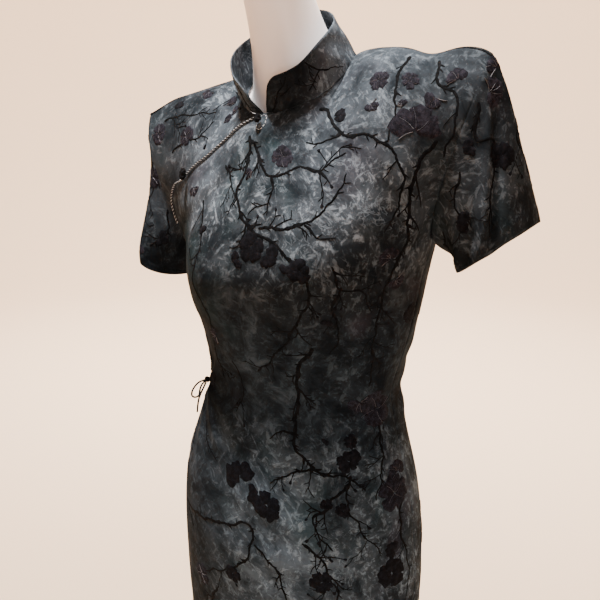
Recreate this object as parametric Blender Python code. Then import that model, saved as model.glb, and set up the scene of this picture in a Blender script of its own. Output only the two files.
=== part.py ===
"""A cheongsam dress on a limbless dress form, in metres, +Z up.

The dress's front faces -Y and the wearer's left is +X. Every panel of cloth is a thin
closed wall over one figure: a stack of sections up to the armpits, and above them a
surface that sweeps up to the neckline and the shoulder seams. A panel is laid out in
flat coordinates: `across` runs from -1 to 1 between its side seams, and `up` is a
length along the cloth, 0 at the armpits, negative below and YOKE at the shoulder seam.
"""

from math import cos, pi, radians, sin, sqrt, tan

import bmesh
import bpy
from mathutils import Matrix, Vector

# ---- driving dimensions -------------------------------------------------------------
CLOTH = 0.0016          # wall of every cloth piece
SEAM_GAP = 0.0003       # space left between two sewn pieces
NEAR = 1e-4             # what counts as on an edge
CENTRE_X = 0.0146       # taken off every x, so that the sleeves' reach is centred
HEM_Z = 0.270           # hem of the skirt
SLIT_TOP_Z = 0.540      # top of the two side slits
SLIT_WIDTH = 0.012      # how far a slit stands open at the hem
ARMPIT_Z = 1.193
YOKE = 0.190            # cloth length from armpit level to the shoulder seam
PANEL_HALF = 0.212      # flat width that across = 1 stands for

SHOULDER_TILT = radians(7.5)   # the wearer's left shoulder is the higher one
TILT_FROM_Z, TILT_TO_Z = 1.00, 1.18
LEFT_ARMPIT_RISE = 0.019       # the left armpit sits higher than the tilt alone gives
# The hips stand a little to the wearer's right and the breast to the left.
HIP_SHIFT, CHEST_SHIFT = -0.008, 0.006

TIP = (0.211, -0.016, 1.380)   # end of the left shoulder seam before the tilt
TILT_PIVOT_Z = 1.375
# How far each shoulder seam arches up, and how far its end rounds down and out.
SHOULDER_ARCH = {1: 0.0075, -1: 0.0015}
SHOULDER_DIP = {1: 0.0065, -1: 0.0}     # how far the middle of the seam sinks again
TIP_DROOP = {1: 0.000, -1: 0.007}
EASED = 0.10            # across over which the corner at the neck is eased

NECK_BASE = (0.0, -0.007, 1.390)
NECK_FORWARD = radians(35)     # how far the collar leans forward
NECK_HALF_WIDTH = 0.064
NECK_DEPTHS = (0.066, 0.060)       # in front and behind
SEAM_ON_NECK = radians(108)    # where the shoulder seam meets the collar, from the front
NECK_ACROSS = 0.36             # across at that point
NECK_FRONT = radians(-7)       # where the collar's two leaves meet
COLLAR_FRONT_HEIGHT, COLLAR_BACK_HEIGHT = 0.034, 0.038
COLLAR_SIDE_RISE = 0.005       # how much higher it stands below the ears
COLLAR_TOP_WIDTH = 0.058
COLLAR_TOP_DEPTHS = (0.063, 0.057)
COLLAR_CORNER = 0.012          # radius of the collar's two front corners
COLLAR_EDGE = 0.010            # across at the leaves' front edges
COLLAR_OPENS_LEFT, COLLAR_OPENS_RIGHT = radians(15), radians(-20)  # at the top

OVERLAP = 0.022         # how far the main front lies over the underlap
LAP_RAISE = CLOTH + 0.0011
PIPING_RADIUS = 0.0011

SLEEVE_HALF_DEPTH = 0.058
# How far each sleeve bells out at its top, and how it leaves the armpit.
SLEEVE_SPREAD = {"sleeve_left": (0.06, 0.42), "sleeve_right": (-0.16, 0.62)}

CORD_RADIUS = 0.0011
FORM_CLEARANCE = 0.0055   # from the outside of the cloth to the dress form
FORM_BOTTOM_Z = 0.800
NECK_TOP = 0.165          # length of the form's neck above the neck base
NECK_LEAN = radians(16)
NECK_RADIUS_TOP, NECK_RADIUS_LOW = 0.0345, 0.0440
CAP_HEIGHT = 0.012
POLE_RADIUS = 0.0125
BASE_RADIUS, BASE_HEIGHT = 0.165, 0.014

# Sections of the dressed figure: height, half width, depth in front of and behind the
# side seam.
SECTIONS = (
    # z, half_width, front, back
    (0.270, 0.168, 0.100, 0.098),
    (0.450, 0.163, 0.100, 0.098),
    (0.607, 0.161, 0.101, 0.100),
    (0.757, 0.1675, 0.106, 0.113),
    (0.857, 0.165, 0.108, 0.123),
    (0.927, 0.155, 0.104, 0.116),
    (1.007, 0.130, 0.094, 0.105),
    (1.052, 0.119, 0.086, 0.107),
    (1.110, 0.131, 0.098, 0.101),
    (1.150, 0.140, 0.107, 0.102),
    (1.193, 0.150, 0.112, 0.104),
    (1.240, 0.156, 0.108, 0.106),
)

BUST_X, BUST_Z, BUST_RADIUS, BUST_DEPTH = 0.074, 1.186, 0.052, 0.013

# The edge of the main front over the wearer's right breast, from the neck to the side.
LAP_EDGE = (
    # across, up
    (-1.000, -0.0160),
    (-0.985, 0.0000),
    (-0.970, 0.0140),
    (-0.940, 0.0460),
    (-0.910, 0.0670),
    (-0.870, 0.0785),
    (-0.810, 0.0845),
    (-0.750, 0.0868),
    (-0.690, 0.0850),
    (-0.630, 0.0846),
    (-0.570, 0.0870),
    (-0.500, 0.0920),
    (-0.395, 0.1010),
    (-0.270, 0.1210),
    (-0.185, 0.1400),
    (-0.090, 0.1670),
    (0.000, YOKE),
)

# Creases of the front and of the back: soft ridges (height > 0) and troughs, each
# from one place on the flat panel to another, in metres across and in height.
FRONT_CREASES = (
    # from_x, from_z, to_x, to_z, half_width, height
    (-0.123, 1.042, -0.072, 1.086, 0.009, 0.0046),
    (-0.121, 1.039, -0.058, 1.052, 0.008, 0.0044),
    (-0.121, 1.035, -0.060, 1.018, 0.008, 0.0048),
    (-0.123, 1.031, -0.054, 0.975, 0.009, 0.0044),
    (-0.129, 1.044, -0.115, 1.102, 0.009, 0.0036),
    (-0.129, 1.030, -0.106, 0.965, 0.009, 0.0036),
    (0.196, 1.070, 0.110, 1.050, 0.012, 0.0026),
    (0.196, 1.040, 0.120, 1.010, 0.012, 0.0024),
    (0.186, 1.205, 0.130, 1.290, 0.013, 0.0034),
    (0.180, 1.200, 0.110, 1.230, 0.013, 0.0026),
    (-0.170, 1.190, -0.110, 1.150, 0.013, 0.0026),
    (-0.040, 0.940, 0.090, 0.900, 0.015, 0.0020),
)
BACK_CREASES = (
    # from_x, from_z, to_x, to_z, half_width, height
    (-0.190, 1.060, -0.090, 1.075, 0.012, 0.0030),
    (-0.190, 1.035, -0.080, 1.020, 0.012, 0.0030),
    (0.190, 1.062, 0.080, 1.070, 0.012, 0.0028),
    (0.190, 1.032, 0.090, 1.012, 0.012, 0.0026),
    (-0.060, 1.100, 0.070, 1.090, 0.015, 0.0022),
    (-0.180, 1.210, -0.120, 1.290, 0.014, 0.0030),
    (0.180, 1.210, 0.120, 1.290, 0.014, 0.0030),
)

# Sleeves: the wearer's left and right ones, with the way each hangs.
SLEEVES = {
    # name: (side, degrees outward, degrees forward, length, half width of the hem,
    #        degrees that the hem slopes down towards the body, and towards the back)
    "sleeve_left": (1, 14, -13, 0.181, 0.044, 26, 13),
    "sleeve_right": (-1, 0, -4, 0.186, 0.023, 36, 10),
}
# Folds of each sleeve: place round the arm (0 armpit, 0.25 front, 0.5 outside),
# place down it, half widths of both, height.
SLEEVE_FOLDS = {
    "sleeve_left": (
        (0.36, 0.70, 0.030, 0.40, 0.0060),
        (0.44, 0.75, 0.030, 0.35, -0.0050),
        (0.20, 0.80, 0.040, 0.30, -0.0040),
        (0.12, 0.85, 0.035, 0.30, 0.0035),
        (0.72, 0.60, 0.045, 0.40, 0.0040),
    ),
    "sleeve_right": (
        (0.32, 0.80, 0.040, 0.30, 0.0022),
        (0.20, 0.80, 0.045, 0.30, -0.0035),
        (0.70, 0.60, 0.045, 0.40, 0.0025),
    ),
}

# Where the rows and columns of the panels lie.
SKIRT_ROWS = (0.270, 0.340, 0.420, 0.500, 0.540, 0.600, 0.670, 0.740, 0.800, 0.855,
              0.905, 0.945, 0.972)
WAIST_ROWS = (0.990, 1.003, 1.016, 1.029, 1.042, 1.055, 1.068, 1.081, 1.094, 1.108,
              1.123)
YOKE_FROM = -0.050      # up, where the rows begin to follow the main front's edge
YOKE_ROWS = (-0.050, -0.024, 0.0, 0.028, 0.056, 0.084, 0.112, 0.138, 0.168, YOKE)
FRONT_COLUMNS = (-1.0, -0.97, -0.94, -0.91, -0.87, -0.81, -0.75, -0.69, -0.63, -0.57,
                 -0.50, -0.43, -0.36, -0.27, -0.18, -0.09, -0.045, 0.0, 0.045, 0.09, 0.18,
                 0.27, 0.36, 0.47, 0.58, 0.68, 0.77, 0.86, 0.94, 1.0)
BACK_COLUMNS = (-1.0, -0.92, -0.82, -0.71, -0.60, -0.48, -0.36, -0.27, -0.18, -0.09,
                0.0, 0.09, 0.18, 0.27, 0.36, 0.48, 0.60, 0.71, 0.82, 0.92, 1.0)
BACK_ROWS = (0.270, 0.340, 0.420, 0.500, 0.540, 0.600, 0.680, 0.760, 0.830, 0.890,
             0.940, 0.975, 1.000, 1.020, 1.040, 1.060, 1.080, 1.100, 1.123)
UNDERLAP_STEPS = (0.0, 0.0777, 0.22, 0.38, 0.54, 0.70, 0.86, 1.0)

MATERIALS = {
    # name: (colour, roughness, metallic)
    "flocked_cloth": ((0.045, 0.052, 0.056, 1.0), 0.62, 0.0),
    "dark_trim": ((0.020, 0.018, 0.020, 1.0), 0.70, 0.0),
    "form_white": ((0.82, 0.78, 0.76, 1.0), 0.35, 0.0),
    "stand_metal": ((0.55, 0.55, 0.56, 1.0), 0.30, 1.0),
}


# ---- curves and sections ------------------------------------------------------------
def smooth(value, low=0.0, high=1.0):
    """0 below low, 1 above high, and a soft step between."""
    t = min(1.0, max(0.0, (value - low) / (high - low)))
    return t * t * (3 - 2 * t)


def along(table, value, column):
    """A table's column at value, on a smooth curve through its rows."""
    last = len(table) - 1
    i = 0
    while i < last - 1 and value > table[i + 1][0]:
        i += 1

    def slope(k):
        a, b = table[max(0, k - 1)], table[min(last, k + 1)]
        return (b[column] - a[column]) / (b[0] - a[0])

    a, b = table[i], table[i + 1]
    width = b[0] - a[0]
    t = min(1.0, max(0.0, (value - a[0]) / width))
    return (
        a[column] * (1 + 2 * t) * (1 - t) ** 2
        + b[column] * t * t * (3 - 2 * t)
        + slope(i) * width * t * (1 - t) ** 2
        - slope(i + 1) * width * t * t * (1 - t)
    )


def bezier(a, b, c, d, t):
    return a * (1 - t) ** 3 + b * 3 * t * (1 - t) ** 2 + c * 3 * t * t * (1 - t) + d * t**3


def tilted(point):
    """A point of the shoulders turned by the shoulders' tilt."""
    turn = Matrix.Rotation(-SHOULDER_TILT, 3, "Y")
    pivot = Vector((0, 0, TILT_PIVOT_Z))
    return turn @ (Vector(point) - pivot) + pivot


def section_point(across, z, side):
    """A point of the figure up to the armpits; side is -1 in front and 1 behind."""
    angle = across * pi / 2
    half_width = along(SECTIONS, z, 1)
    depth = along(SECTIONS, z, 2 if side < 0 else 3)
    x = half_width * sin(angle)
    y = side * depth * cos(angle)
    if side < 0:
        for centre in (-BUST_X, BUST_X):
            away = ((x - centre) ** 2 + (z - BUST_Z) ** 2) / BUST_RADIUS**2
            y -= BUST_DEPTH * 2.718 ** (-away) * cos(angle)
    shift = HIP_SHIFT * (1 - smooth(z, 0.86, 1.08)) + CHEST_SHIFT * smooth(z, 1.04, 1.13)
    rise = x * tan(SHOULDER_TILT) * smooth(z, TILT_FROM_Z, TILT_TO_Z)
    rise += LEFT_ARMPIT_RISE * smooth(x, 0.03, 0.15) * smooth(z, 1.06, ARMPIT_Z)
    return Vector((x + shift, y, z + rise))


def neck_frame():
    """The neck base's centre, its left, forward and upward directions."""
    lean = NECK_FORWARD
    turn = Matrix.Rotation(-SHOULDER_TILT, 3, "Y")
    left = turn @ Vector((1, 0, 0))
    front = turn @ Vector((0, -cos(lean), -sin(lean)))
    upward = turn @ Vector((0, -sin(lean), cos(lean)))
    return tilted(NECK_BASE), left, front, upward


def neck_point(angle):
    """A point of the neckline; angle is 0 in front and positive to the left."""
    centre, left, front, _ = neck_frame()
    return (
        centre
        + left * (NECK_HALF_WIDTH * sin(angle))
        + front * (NECK_DEPTHS[cos(angle) < 0] * cos(angle))
    )


def neck_angle(across, side):
    """The neckline's angle at a panel's column."""
    share = min(1.0, abs(across) / NECK_ACROSS)
    hand = 1 if across >= 0 else -1
    if side < 0:
        return hand * share * SEAM_ON_NECK + (1 - share) * NECK_FRONT
    return hand * (pi - share * (pi - SEAM_ON_NECK))


def top_point(across, side):
    """The neckline or the shoulder seam above a column."""
    if abs(across) <= NECK_ACROSS:
        return neck_point(neck_angle(across, side))
    hand = 1 if across > 0 else -1
    share = (abs(across) - NECK_ACROSS) / (1 - NECK_ACROSS)
    inner = neck_point(hand * SEAM_ON_NECK)
    outer = tilted((hand * TIP[0], TIP[1], TIP[2]))
    rise = SHOULDER_ARCH[hand] * (1 - (2 * share - 1) ** 6)
    rise -= SHOULDER_DIP[hand] * 2.718 ** (-((share - 0.60) / 0.15) ** 2)
    droop = TIP_DROOP[hand] * smooth(share, 0.72, 1.0)
    return inner.lerp(outer, share) + Vector((hand * droop * 0.2, 0, rise - droop))


def eased_top(across, side):
    """The top with its corner at the neck cut, which the column heads for."""
    spread = EASED * smooth(abs(across), 0.06, 0.30) * (1 - smooth(abs(across), 0.55, 0.80))
    total = top_point(across, side) * 2
    for part in (-1, -0.5, 0.5, 1):
        total += top_point(across + part * spread, side)
    return total / 6


def yoke_handles(across, side):
    """How a column leaves the armpit level and how it arrives at the top."""
    hand = 1 if across > 0 else -1
    far = abs(across)
    out = smooth(far, 0.58, 1.0)
    shoulder = smooth(far, 0.18, 0.50)
    rise = Vector((0, -0.006 * side, 0.058 if side < 0 else 0.075))
    round_arm = Vector((0.006 * hand, 0.034 * side, 0.034))
    to_neck = Vector((0, -0.030 * side, 0.036 if side < 0 else 0.046))
    to_shoulder = Vector((0, -0.060 * side, 0.014 if side < 0 else -0.006))
    to_tip = Vector((0.006 * hand, -0.034 * side, 0.050))
    leave = rise.lerp(round_arm, out)
    arrive = to_neck.lerp(to_shoulder, shoulder).lerp(to_tip, out)
    return leave, arrive


def figure(across, up, side):
    """The outside of the smooth dressed figure."""
    if up <= 0:
        return section_point(across, ARMPIT_Z + up, side)
    leave, arrive = yoke_handles(across, side)
    low = section_point(across, ARMPIT_Z, side)
    top = top_point(across, side)
    return bezier(low, low + leave, eased_top(across, side) - arrive, top, min(1.0, up / YOKE))


def seam_normal(across, up):
    """The direction a normal may not lean to, where front and back are sewn together."""
    if up <= 0:
        return Vector((0, 1, 0))
    hand = 1 if across > 0 else -1
    run = top_point(hand, 1) - top_point(hand * NECK_ACROSS, 1)
    return Vector((-run.y, run.x, 0)).normalized()


def figure_normal(across, up, side):
    """The figure's outward direction."""
    step = 0.004
    left, right = max(-1.0, across - step), min(1.0, across + step)
    low, high = up - step * 0.2, min(YOKE, up + step * 0.2)
    wide = figure(right, up, side) - figure(left, up, side)
    tall = figure(across, high, side) - figure(across, low, side)
    normal = wide.cross(tall) * -side
    on_side_seam = abs(across) > 0.999 and up < NEAR
    on_shoulder_seam = abs(across) >= NECK_ACROSS - NEAR and up > YOKE - NEAR
    if on_side_seam or on_shoulder_seam:
        along_seam = seam_normal(across, up)
        normal -= along_seam * normal.dot(along_seam)
    return normal.normalized()


def crease(across, z, table):
    """How far the table's creases stand out at a place of the panel."""
    x, total = across * PANEL_HALF, 0.0
    for from_x, from_z, to_x, to_z, half_width, height in table:
        run_x, run_z = to_x - from_x, to_z - from_z
        t = ((x - from_x) * run_x + (z - from_z) * run_z) / (run_x**2 + run_z**2)
        t = min(1.0, max(0.0, t))
        away = (x - from_x - t * run_x) ** 2 + (z - from_z - t * run_z) ** 2
        total += height * smooth(t, 0.0, 0.2) * (1 - 0.6 * t) * 2.718 ** (-away / half_width**2)
    return total


# ---- the main front's edge ----------------------------------------------------------
def lap_top(across):
    """up at the top of the main front."""
    if across >= 0:
        return YOKE
    i = 0
    while i < len(LAP_EDGE) - 2 and across > LAP_EDGE[i + 1][0]:
        i += 1
    (a, low), (b, high) = LAP_EDGE[i], LAP_EDGE[i + 1]
    return low + (high - low) * (across - a) / (b - a)


def lap_raise(across, up):
    """How far the main front is lifted off the underlap."""
    below = lap_top(max(-1.0, across - 0.05)) - OVERLAP - up
    share = 1 - smooth(below, 0.001, 0.016)
    return LAP_RAISE * share * (1 - smooth(across, 0.0, 0.16))


# ---- sleeves ------------------------------------------------------------------------
def sleeve_axis(name):
    side, outward, forward = SLEEVES[name][:3]
    a, b = radians(outward), radians(forward)
    return Vector((side * sin(a) * cos(b), -sin(b), -cos(a) * cos(b))).normalized()


def sleeve_loop(name):
    """The armhole's places from the armpit up the front and down the back, as (up, side)."""
    hand = SLEEVES[name][0]
    back = [up for up in YOKE_ROWS if up >= 0]
    front = back if hand > 0 else underlap_rows(-1.0)[2:]
    return [(max(0.0, up), -1) for up in front] + [(up, 1) for up in reversed(back[1:-1])]


def sleeve_start(name, up, side):
    """The way the sleeve leaves the armhole."""
    hand = SLEEVES[name][0]
    axis = sleeve_axis(name)
    centre = (figure(hand, 0, 1) + figure(hand, YOKE, 1)) / 2
    radial = figure(hand, up, side) - centre
    radial = (radial - axis * radial.dot(axis)).normalized()
    top = smooth(up / YOKE, 0.45, 1.0)
    low = 1 - smooth(up / YOKE, 0.0, 0.45)
    outward = Vector((hand, 0, 0))
    spread = SLEEVE_SPREAD[name][0] * (1 - low)
    away = 0.04 + 0.5 * spread + 0.02 * top + SLEEVE_SPREAD[name][1] * low
    return (axis * 0.8 + radial * (0.10 + spread) + outward * away).normalized()


def armhole_rim(name, up, side):
    """(offset of the inner point, way from the body's edge to the sleeve's) at the armhole."""
    hand = SLEEVES[name][0]
    normal = figure_normal(hand, up, side)
    step = 0.002
    tangent = (
        figure(hand, min(YOKE, up + step), side) - figure(hand, max(0.0, up - step), side)
    ).normalized()
    out_of_body = tangent.cross(normal).normalized()
    if out_of_body.dot(figure(hand, up, side) - figure(hand * 0.985, up, side)) < 0:
        out_of_body = -out_of_body
    into_sleeve = sleeve_start(name, up, side)
    return mitre(tangent, normal, out_of_body, into_sleeve, seam_normal(hand, up),
                 up < NEAR or up > YOKE - NEAR)


def mitre(tangent, normal, leaving, entering, across_seam, at_corner):
    """The rim between two pieces that meet at an angle, halfway between their walls."""
    entering = (entering - tangent * entering.dot(tangent)).normalized()
    turn = leaving.angle(entering) / 2
    if leaving.cross(entering).dot(tangent) < 0:
        turn = -turn
    half = Matrix.Rotation(turn, 3, tangent)
    middle, way = half @ normal, half @ leaving
    if at_corner:
        middle = (middle - across_seam * middle.dot(across_seam)).normalized()
        way = (way - across_seam * way.dot(across_seam)).normalized()
    return middle * (-CLOTH / max(0.60, cos(turn))), way


# ---- collar -------------------------------------------------------------------------
def collar_direction(angle, share=1.0):
    """From the neckline towards the collar's top, a share of the way up."""
    centre, left, front, upward = neck_frame()
    height = COLLAR_FRONT_HEIGHT + (COLLAR_BACK_HEIGHT - COLLAR_FRONT_HEIGHT) * smooth(
        abs(angle), radians(35), radians(110))
    height += COLLAR_SIDE_RISE * 2.718 ** (-((abs(angle) - radians(72)) / radians(32)) ** 2)
    width = NECK_HALF_WIDTH + (COLLAR_TOP_WIDTH - NECK_HALF_WIDTH) * share
    opens = COLLAR_OPENS_LEFT if angle > NECK_FRONT else COLLAR_OPENS_RIGHT
    at = angle + opens * share * (1 - smooth(abs(angle - NECK_FRONT), 0.0, radians(85)))
    low, high = NECK_DEPTHS[cos(at) < 0], COLLAR_TOP_DEPTHS[cos(at) < 0]
    top = (
        centre
        + upward * (height * share)
        + left * (width * sin(at))
        + front * ((low + (high - low) * share) * cos(at))
    )
    return top - neck_point(angle)


def neck_rim(across, side):
    """(offset of the inner point, way from the body's edge to the collar's) on the neckline."""
    angle = neck_angle(across, side)
    normal = figure_normal(across, YOKE, side)
    tangent = (neck_point(angle + 0.02) - neck_point(angle - 0.02)).normalized()
    inward = tangent.cross(normal).normalized()
    if inward.dot(collar_direction(angle)) < 0:
        inward = -inward
    at_corner = abs(abs(across) - NECK_ACROSS) < NEAR
    apart = seam_normal(across, YOKE)
    return mitre(tangent, normal, inward, collar_direction(angle), apart, at_corner)


# ---- walls --------------------------------------------------------------------------
def wall(name, outer, inner, material, loop=False):
    """A closed wall between two grids of points. A loop joins its last column to its first."""
    rows, columns = len(outer), len(outer[0])
    mesh = bmesh.new()
    outside = [[mesh.verts.new(p) for p in row] for row in outer]
    inside = [[mesh.verts.new(p) for p in row] for row in inner]

    def triangle(a, b, c):
        if len({a, b, c}) == 3:
            mesh.faces.new((a, b, c))

    def quad(a, b, c, d):
        triangle(a, b, c)
        triangle(a, c, d)

    spans = columns if loop else columns - 1
    for i in range(rows - 1):
        for j in range(spans):
            k = (j + 1) % columns
            quad(outside[i][j], outside[i][k], outside[i + 1][k], outside[i + 1][j])
            quad(inside[i][j], inside[i + 1][j], inside[i + 1][k], inside[i][k])
    for i, turn in ((0, 1), (rows - 1, -1)):
        for j in range(spans):
            k = (j + 1) % columns
            ring = (outside[i][j], inside[i][j], inside[i][k], outside[i][k])
            quad(*(ring if turn > 0 else ring[::-1]))
    if not loop:
        for j, turn in ((0, -1), (columns - 1, 1)):
            for i in range(rows - 1):
                ring = (outside[i][j], inside[i][j], inside[i + 1][j], outside[i + 1][j])
                quad(*(ring if turn > 0 else ring[::-1]))
    bmesh.ops.remove_doubles(mesh, verts=mesh.verts, dist=2e-6)
    bmesh.ops.dissolve_degenerate(mesh, dist=2e-6, edges=mesh.edges)
    bmesh.ops.recalc_face_normals(mesh, faces=mesh.faces)
    return finish(name, mesh, material)


def finish(name, mesh, material):
    """Turns a bmesh into an object that faces out."""
    if mesh.calc_volume(signed=True) < 0:
        bmesh.ops.reverse_faces(mesh, faces=mesh.faces)
    data = bpy.data.meshes.new(name)
    mesh.to_mesh(data)
    mesh.free()
    data.shade_smooth()
    data.set_sharp_from_angle(angle=radians(50))
    data.materials.append(bpy.data.materials[material])
    made = bpy.data.objects.new(name, data)
    bpy.context.scene.collection.objects.link(made)
    return made


def panel_point(across, up, side, creases, lift):
    """(outer, inner) of a panel, with the rim turned to meet the sleeve or the collar."""
    normal = figure_normal(across, up, side)
    z = ARMPIT_Z + up
    ease = crease(across, z, creases) if creases else 0.0
    on_edge = abs(across) > 0.999 or up > YOKE - NEAR
    ease *= 0.0 if on_edge else 1.0
    outer = figure(across, up, side) + normal * (ease + lift)
    offset = normal * -CLOTH
    if abs(across) > 0.999 and up > -NEAR:
        name = "sleeve_left" if across > 0 else "sleeve_right"
        offset = armhole_rim(name, max(0.0, up), side)[0]
    elif up > YOKE - NEAR and abs(across) <= NECK_ACROSS + NEAR:
        offset = neck_rim(across, side)[0]
    inner = outer + offset
    on_side_seam = abs(across) > 0.999 and up < NEAR
    on_shoulder = up > YOKE - NEAR and abs(across) >= NECK_ACROSS - NEAR
    if on_side_seam or on_shoulder:
        apart = seam_normal(across, up)
        apart *= side * (SEAM_GAP / 2) * (1 if apart.y > 0 else -1)
        if on_side_seam:
            apart *= 1 + slit(z) / (SEAM_GAP / 2)
        outer, inner = outer + apart, inner + apart
    return outer, inner


def slit(z):
    """Half the width of the side slit at a height."""
    if z >= SLIT_TOP_Z:
        return 0.0
    return SLIT_WIDTH / 2 * (SLIT_TOP_Z - z) / (SLIT_TOP_Z - HEM_Z)


def yoke_rows(across):
    """The main front's rows from YOKE_FROM to its top edge at a column."""
    top = lap_top(across)
    last_low = YOKE - OVERLAP
    scale = (top - OVERLAP - YOKE_FROM) / (last_low - YOKE_FROM)
    return [YOKE_FROM + (up - YOKE_FROM) * scale for up in YOKE_ROWS[:-1]] + [top]


def underlap_rows(across):
    """The underlap's rows: its hidden edge, the line under the main front's edge, and up."""
    edge = lap_top(across)
    return [edge - OVERLAP] + [edge + share * (YOKE - edge) for share in UNDERLAP_STEPS]


def grids(places, side, creases, lift):
    outer, inner = [], []
    for row in places:
        pairs = [panel_point(u, up, side, creases, lift(u, up)) for u, up in row]
        outer.append([pair[0] for pair in pairs])
        inner.append([pair[1] for pair in pairs])
    return outer, inner


def make_front():
    low = [[(u, z - ARMPIT_Z) for u in FRONT_COLUMNS] for z in SKIRT_ROWS + WAIST_ROWS]
    tops = [yoke_rows(u) for u in FRONT_COLUMNS]
    high = [[(u, tops[j][i]) for j, u in enumerate(FRONT_COLUMNS)] for i in range(len(YOKE_ROWS))]
    outer, inner = grids(low + high, -1, FRONT_CREASES, lap_raise)
    return wall("front_panel", outer, inner, "flocked_cloth")


def make_underlap():
    columns = [u for u in FRONT_COLUMNS if u <= 0]
    tops = [underlap_rows(u) for u in columns]
    places = [[(u, tops[j][i]) for j, u in enumerate(columns)] for i in range(len(tops[0]))]
    outer, inner = grids(places, -1, None, lambda u, up: 0.0)
    return wall("underlap_panel", outer, inner, "flocked_cloth")


def make_back():
    low = [[(u, z - ARMPIT_Z) for u in BACK_COLUMNS] for z in BACK_ROWS]
    high = [[(u, up) for u in BACK_COLUMNS] for up in YOKE_ROWS]
    outer, inner = grids(low + high, 1, BACK_CREASES, lambda u, up: 0.0)
    return wall("back_panel", outer, inner, "flocked_cloth")


def sleeve_surface(name, index, down):
    """A point of the sleeve's outside; index counts round the armhole."""
    hand = SLEEVES[name][0]
    loop = sleeve_loop(name)
    up, side = loop[index % len(loop)]
    axis = sleeve_axis(name)
    start = figure(hand, up, side) + armhole_rim(name, up, side)[1] * (SEAM_GAP * 3)
    leave = sleeve_start(name, up, side)
    share = loop_shares(name)[index % len(loop)]
    end = hem_point(name, share)
    length = (end - start).length
    return bezier(start, start + leave * 0.26 * length, end - axis * 0.30 * length, end, down)


def loop_shares(name):
    """How far round the armhole each place is, with the front at 1/4 and the tip at 1/2."""
    hand = SLEEVES[name][0]
    loop = sleeve_loop(name)
    points = [figure(hand, up, side) for up, side in loop]
    tip = next(i for i, (up, side) in enumerate(loop) if up > YOKE - NEAR)
    front = [0.0]
    for a, b in zip(points[:tip], points[1:tip + 1]):
        front.append(front[-1] + (b - a).length)
    behind = [0.0]
    rest = points[tip:] + points[:1]
    for a, b in zip(rest, rest[1:]):
        behind.append(behind[-1] + (b - a).length)
    return ([0.5 * d / front[-1] for d in front]
            + [0.5 + 0.5 * d / behind[-1] for d in behind[1:-1]])


def hem_point(name, share):
    """A point of the sleeve's hem."""
    hand, _, _, length, half_width, drop, rise = SLEEVES[name]
    axis = sleeve_axis(name)
    forward = Vector((0, -1, 0))
    forward = (forward - axis * forward.dot(axis)).normalized()
    outward = forward.cross(axis).normalized()
    if outward.x * hand < 0:
        outward = -outward
    centre = figure(hand, YOKE, 1) + axis * length - outward * (half_width - 0.008)
    sloped = (outward - axis * tan(radians(drop))).normalized()
    sweep = (forward - axis * tan(radians(rise))).normalized()
    angle = share * 2 * pi
    return (
        centre
        - sloped * (half_width * cos(angle))
        + sweep * (SLEEVE_HALF_DEPTH * sin(angle))
    )


SLEEVE_DOWN = (0.0, 0.07, 0.18, 0.32, 0.48, 0.64, 0.80, 0.92, 1.0)


def sleeve_fold(name, share, down):
    total = 0.0
    for at, low, width, tall, height in SLEEVE_FOLDS[name]:
        round_by = abs(share - at)
        round_by = min(round_by, 1 - round_by)
        total += height * 2.718 ** (-(round_by / width) ** 2 - ((down - low) / tall) ** 2)
    return total * smooth(down, 0.05, 0.30)


def make_sleeve(name):
    loop = sleeve_loop(name)
    count = len(loop)
    shares = loop_shares(name)
    grid = [[sleeve_surface(name, i, down) for i in range(count)] for down in SLEEVE_DOWN]
    outer, inner = [], []
    for r, down in enumerate(SLEEVE_DOWN):
        outer_row, inner_row = [], []
        for i, (up, side) in enumerate(loop):
            point = grid[r][i]
            if r == 0:
                offset = armhole_rim(name, up, side)[0]
                bulge = Vector((0, 0, 0))
            else:
                below = grid[min(r + 1, len(grid) - 1)][i]
                above = grid[r - 1][i]
                middle = sum(grid[r], Vector()) / count
                normal = (grid[r][(i + 1) % count] - grid[r][i - 1]).cross(below - above)
                normal.normalize()
                if normal.dot(point - middle) < 0:
                    normal = -normal
                offset = normal * -CLOTH
                bulge = normal * sleeve_fold(name, shares[i], down)
            outer_row.append(point + bulge)
            inner_row.append(point + bulge + offset)
        outer.append(outer_row)
        inner.append(inner_row)
    return wall(name, outer, inner, "flocked_cloth", loop=True)


def collar_columns():
    """The neckline's places from the right edge round the back to the left edge."""
    front = [COLLAR_EDGE] + [u for u in FRONT_COLUMNS if 0 < u < NECK_ACROSS + NEAR]
    back = [u for u in BACK_COLUMNS if abs(u) < NECK_ACROSS - NEAR]
    right = [(-u, -1) for u in front]
    return right + [(u, 1) for u in back] + [(u, -1) for u in reversed(front)]


COLLAR_SHARES = (0.0, 0.25, 0.5, 0.75, 1.0)


def collar_height(across, side):
    """The share of the collar's height at a column: its two front corners are rounded."""
    run = (abs(across) - COLLAR_EDGE) / NECK_ACROSS * SEAM_ON_NECK * COLLAR_TOP_DEPTHS[0]
    if side > 0 or run >= COLLAR_CORNER:
        return 1.0
    drop = COLLAR_CORNER - sqrt(max(0.0, COLLAR_CORNER**2 - (COLLAR_CORNER - run) ** 2))
    return 1 - drop / COLLAR_FRONT_HEIGHT


def make_collar():
    outer, inner = [], []
    centre, _, _, upward = neck_frame()
    for share in COLLAR_SHARES:
        outer_row, inner_row = [], []
        for across, side in collar_columns():
            angle = neck_angle(across, side)
            offset, way = neck_rim(across, side)
            point = neck_point(angle) + way * SEAM_GAP * 3
            if side < 0 and across > 0:
                point += figure_normal(across, YOKE, side) * lap_raise(across, YOKE)
            point += collar_direction(angle, share * collar_height(across, side))
            if share > 0:
                away = point - centre
                away = (away - upward * away.dot(upward)).normalized()
                offset = away * -CLOTH
            outer_row.append(point)
            inner_row.append(point + offset)
        outer.append(outer_row)
        inner.append(inner_row)
    return wall("collar", outer, inner, "flocked_cloth")


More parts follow.
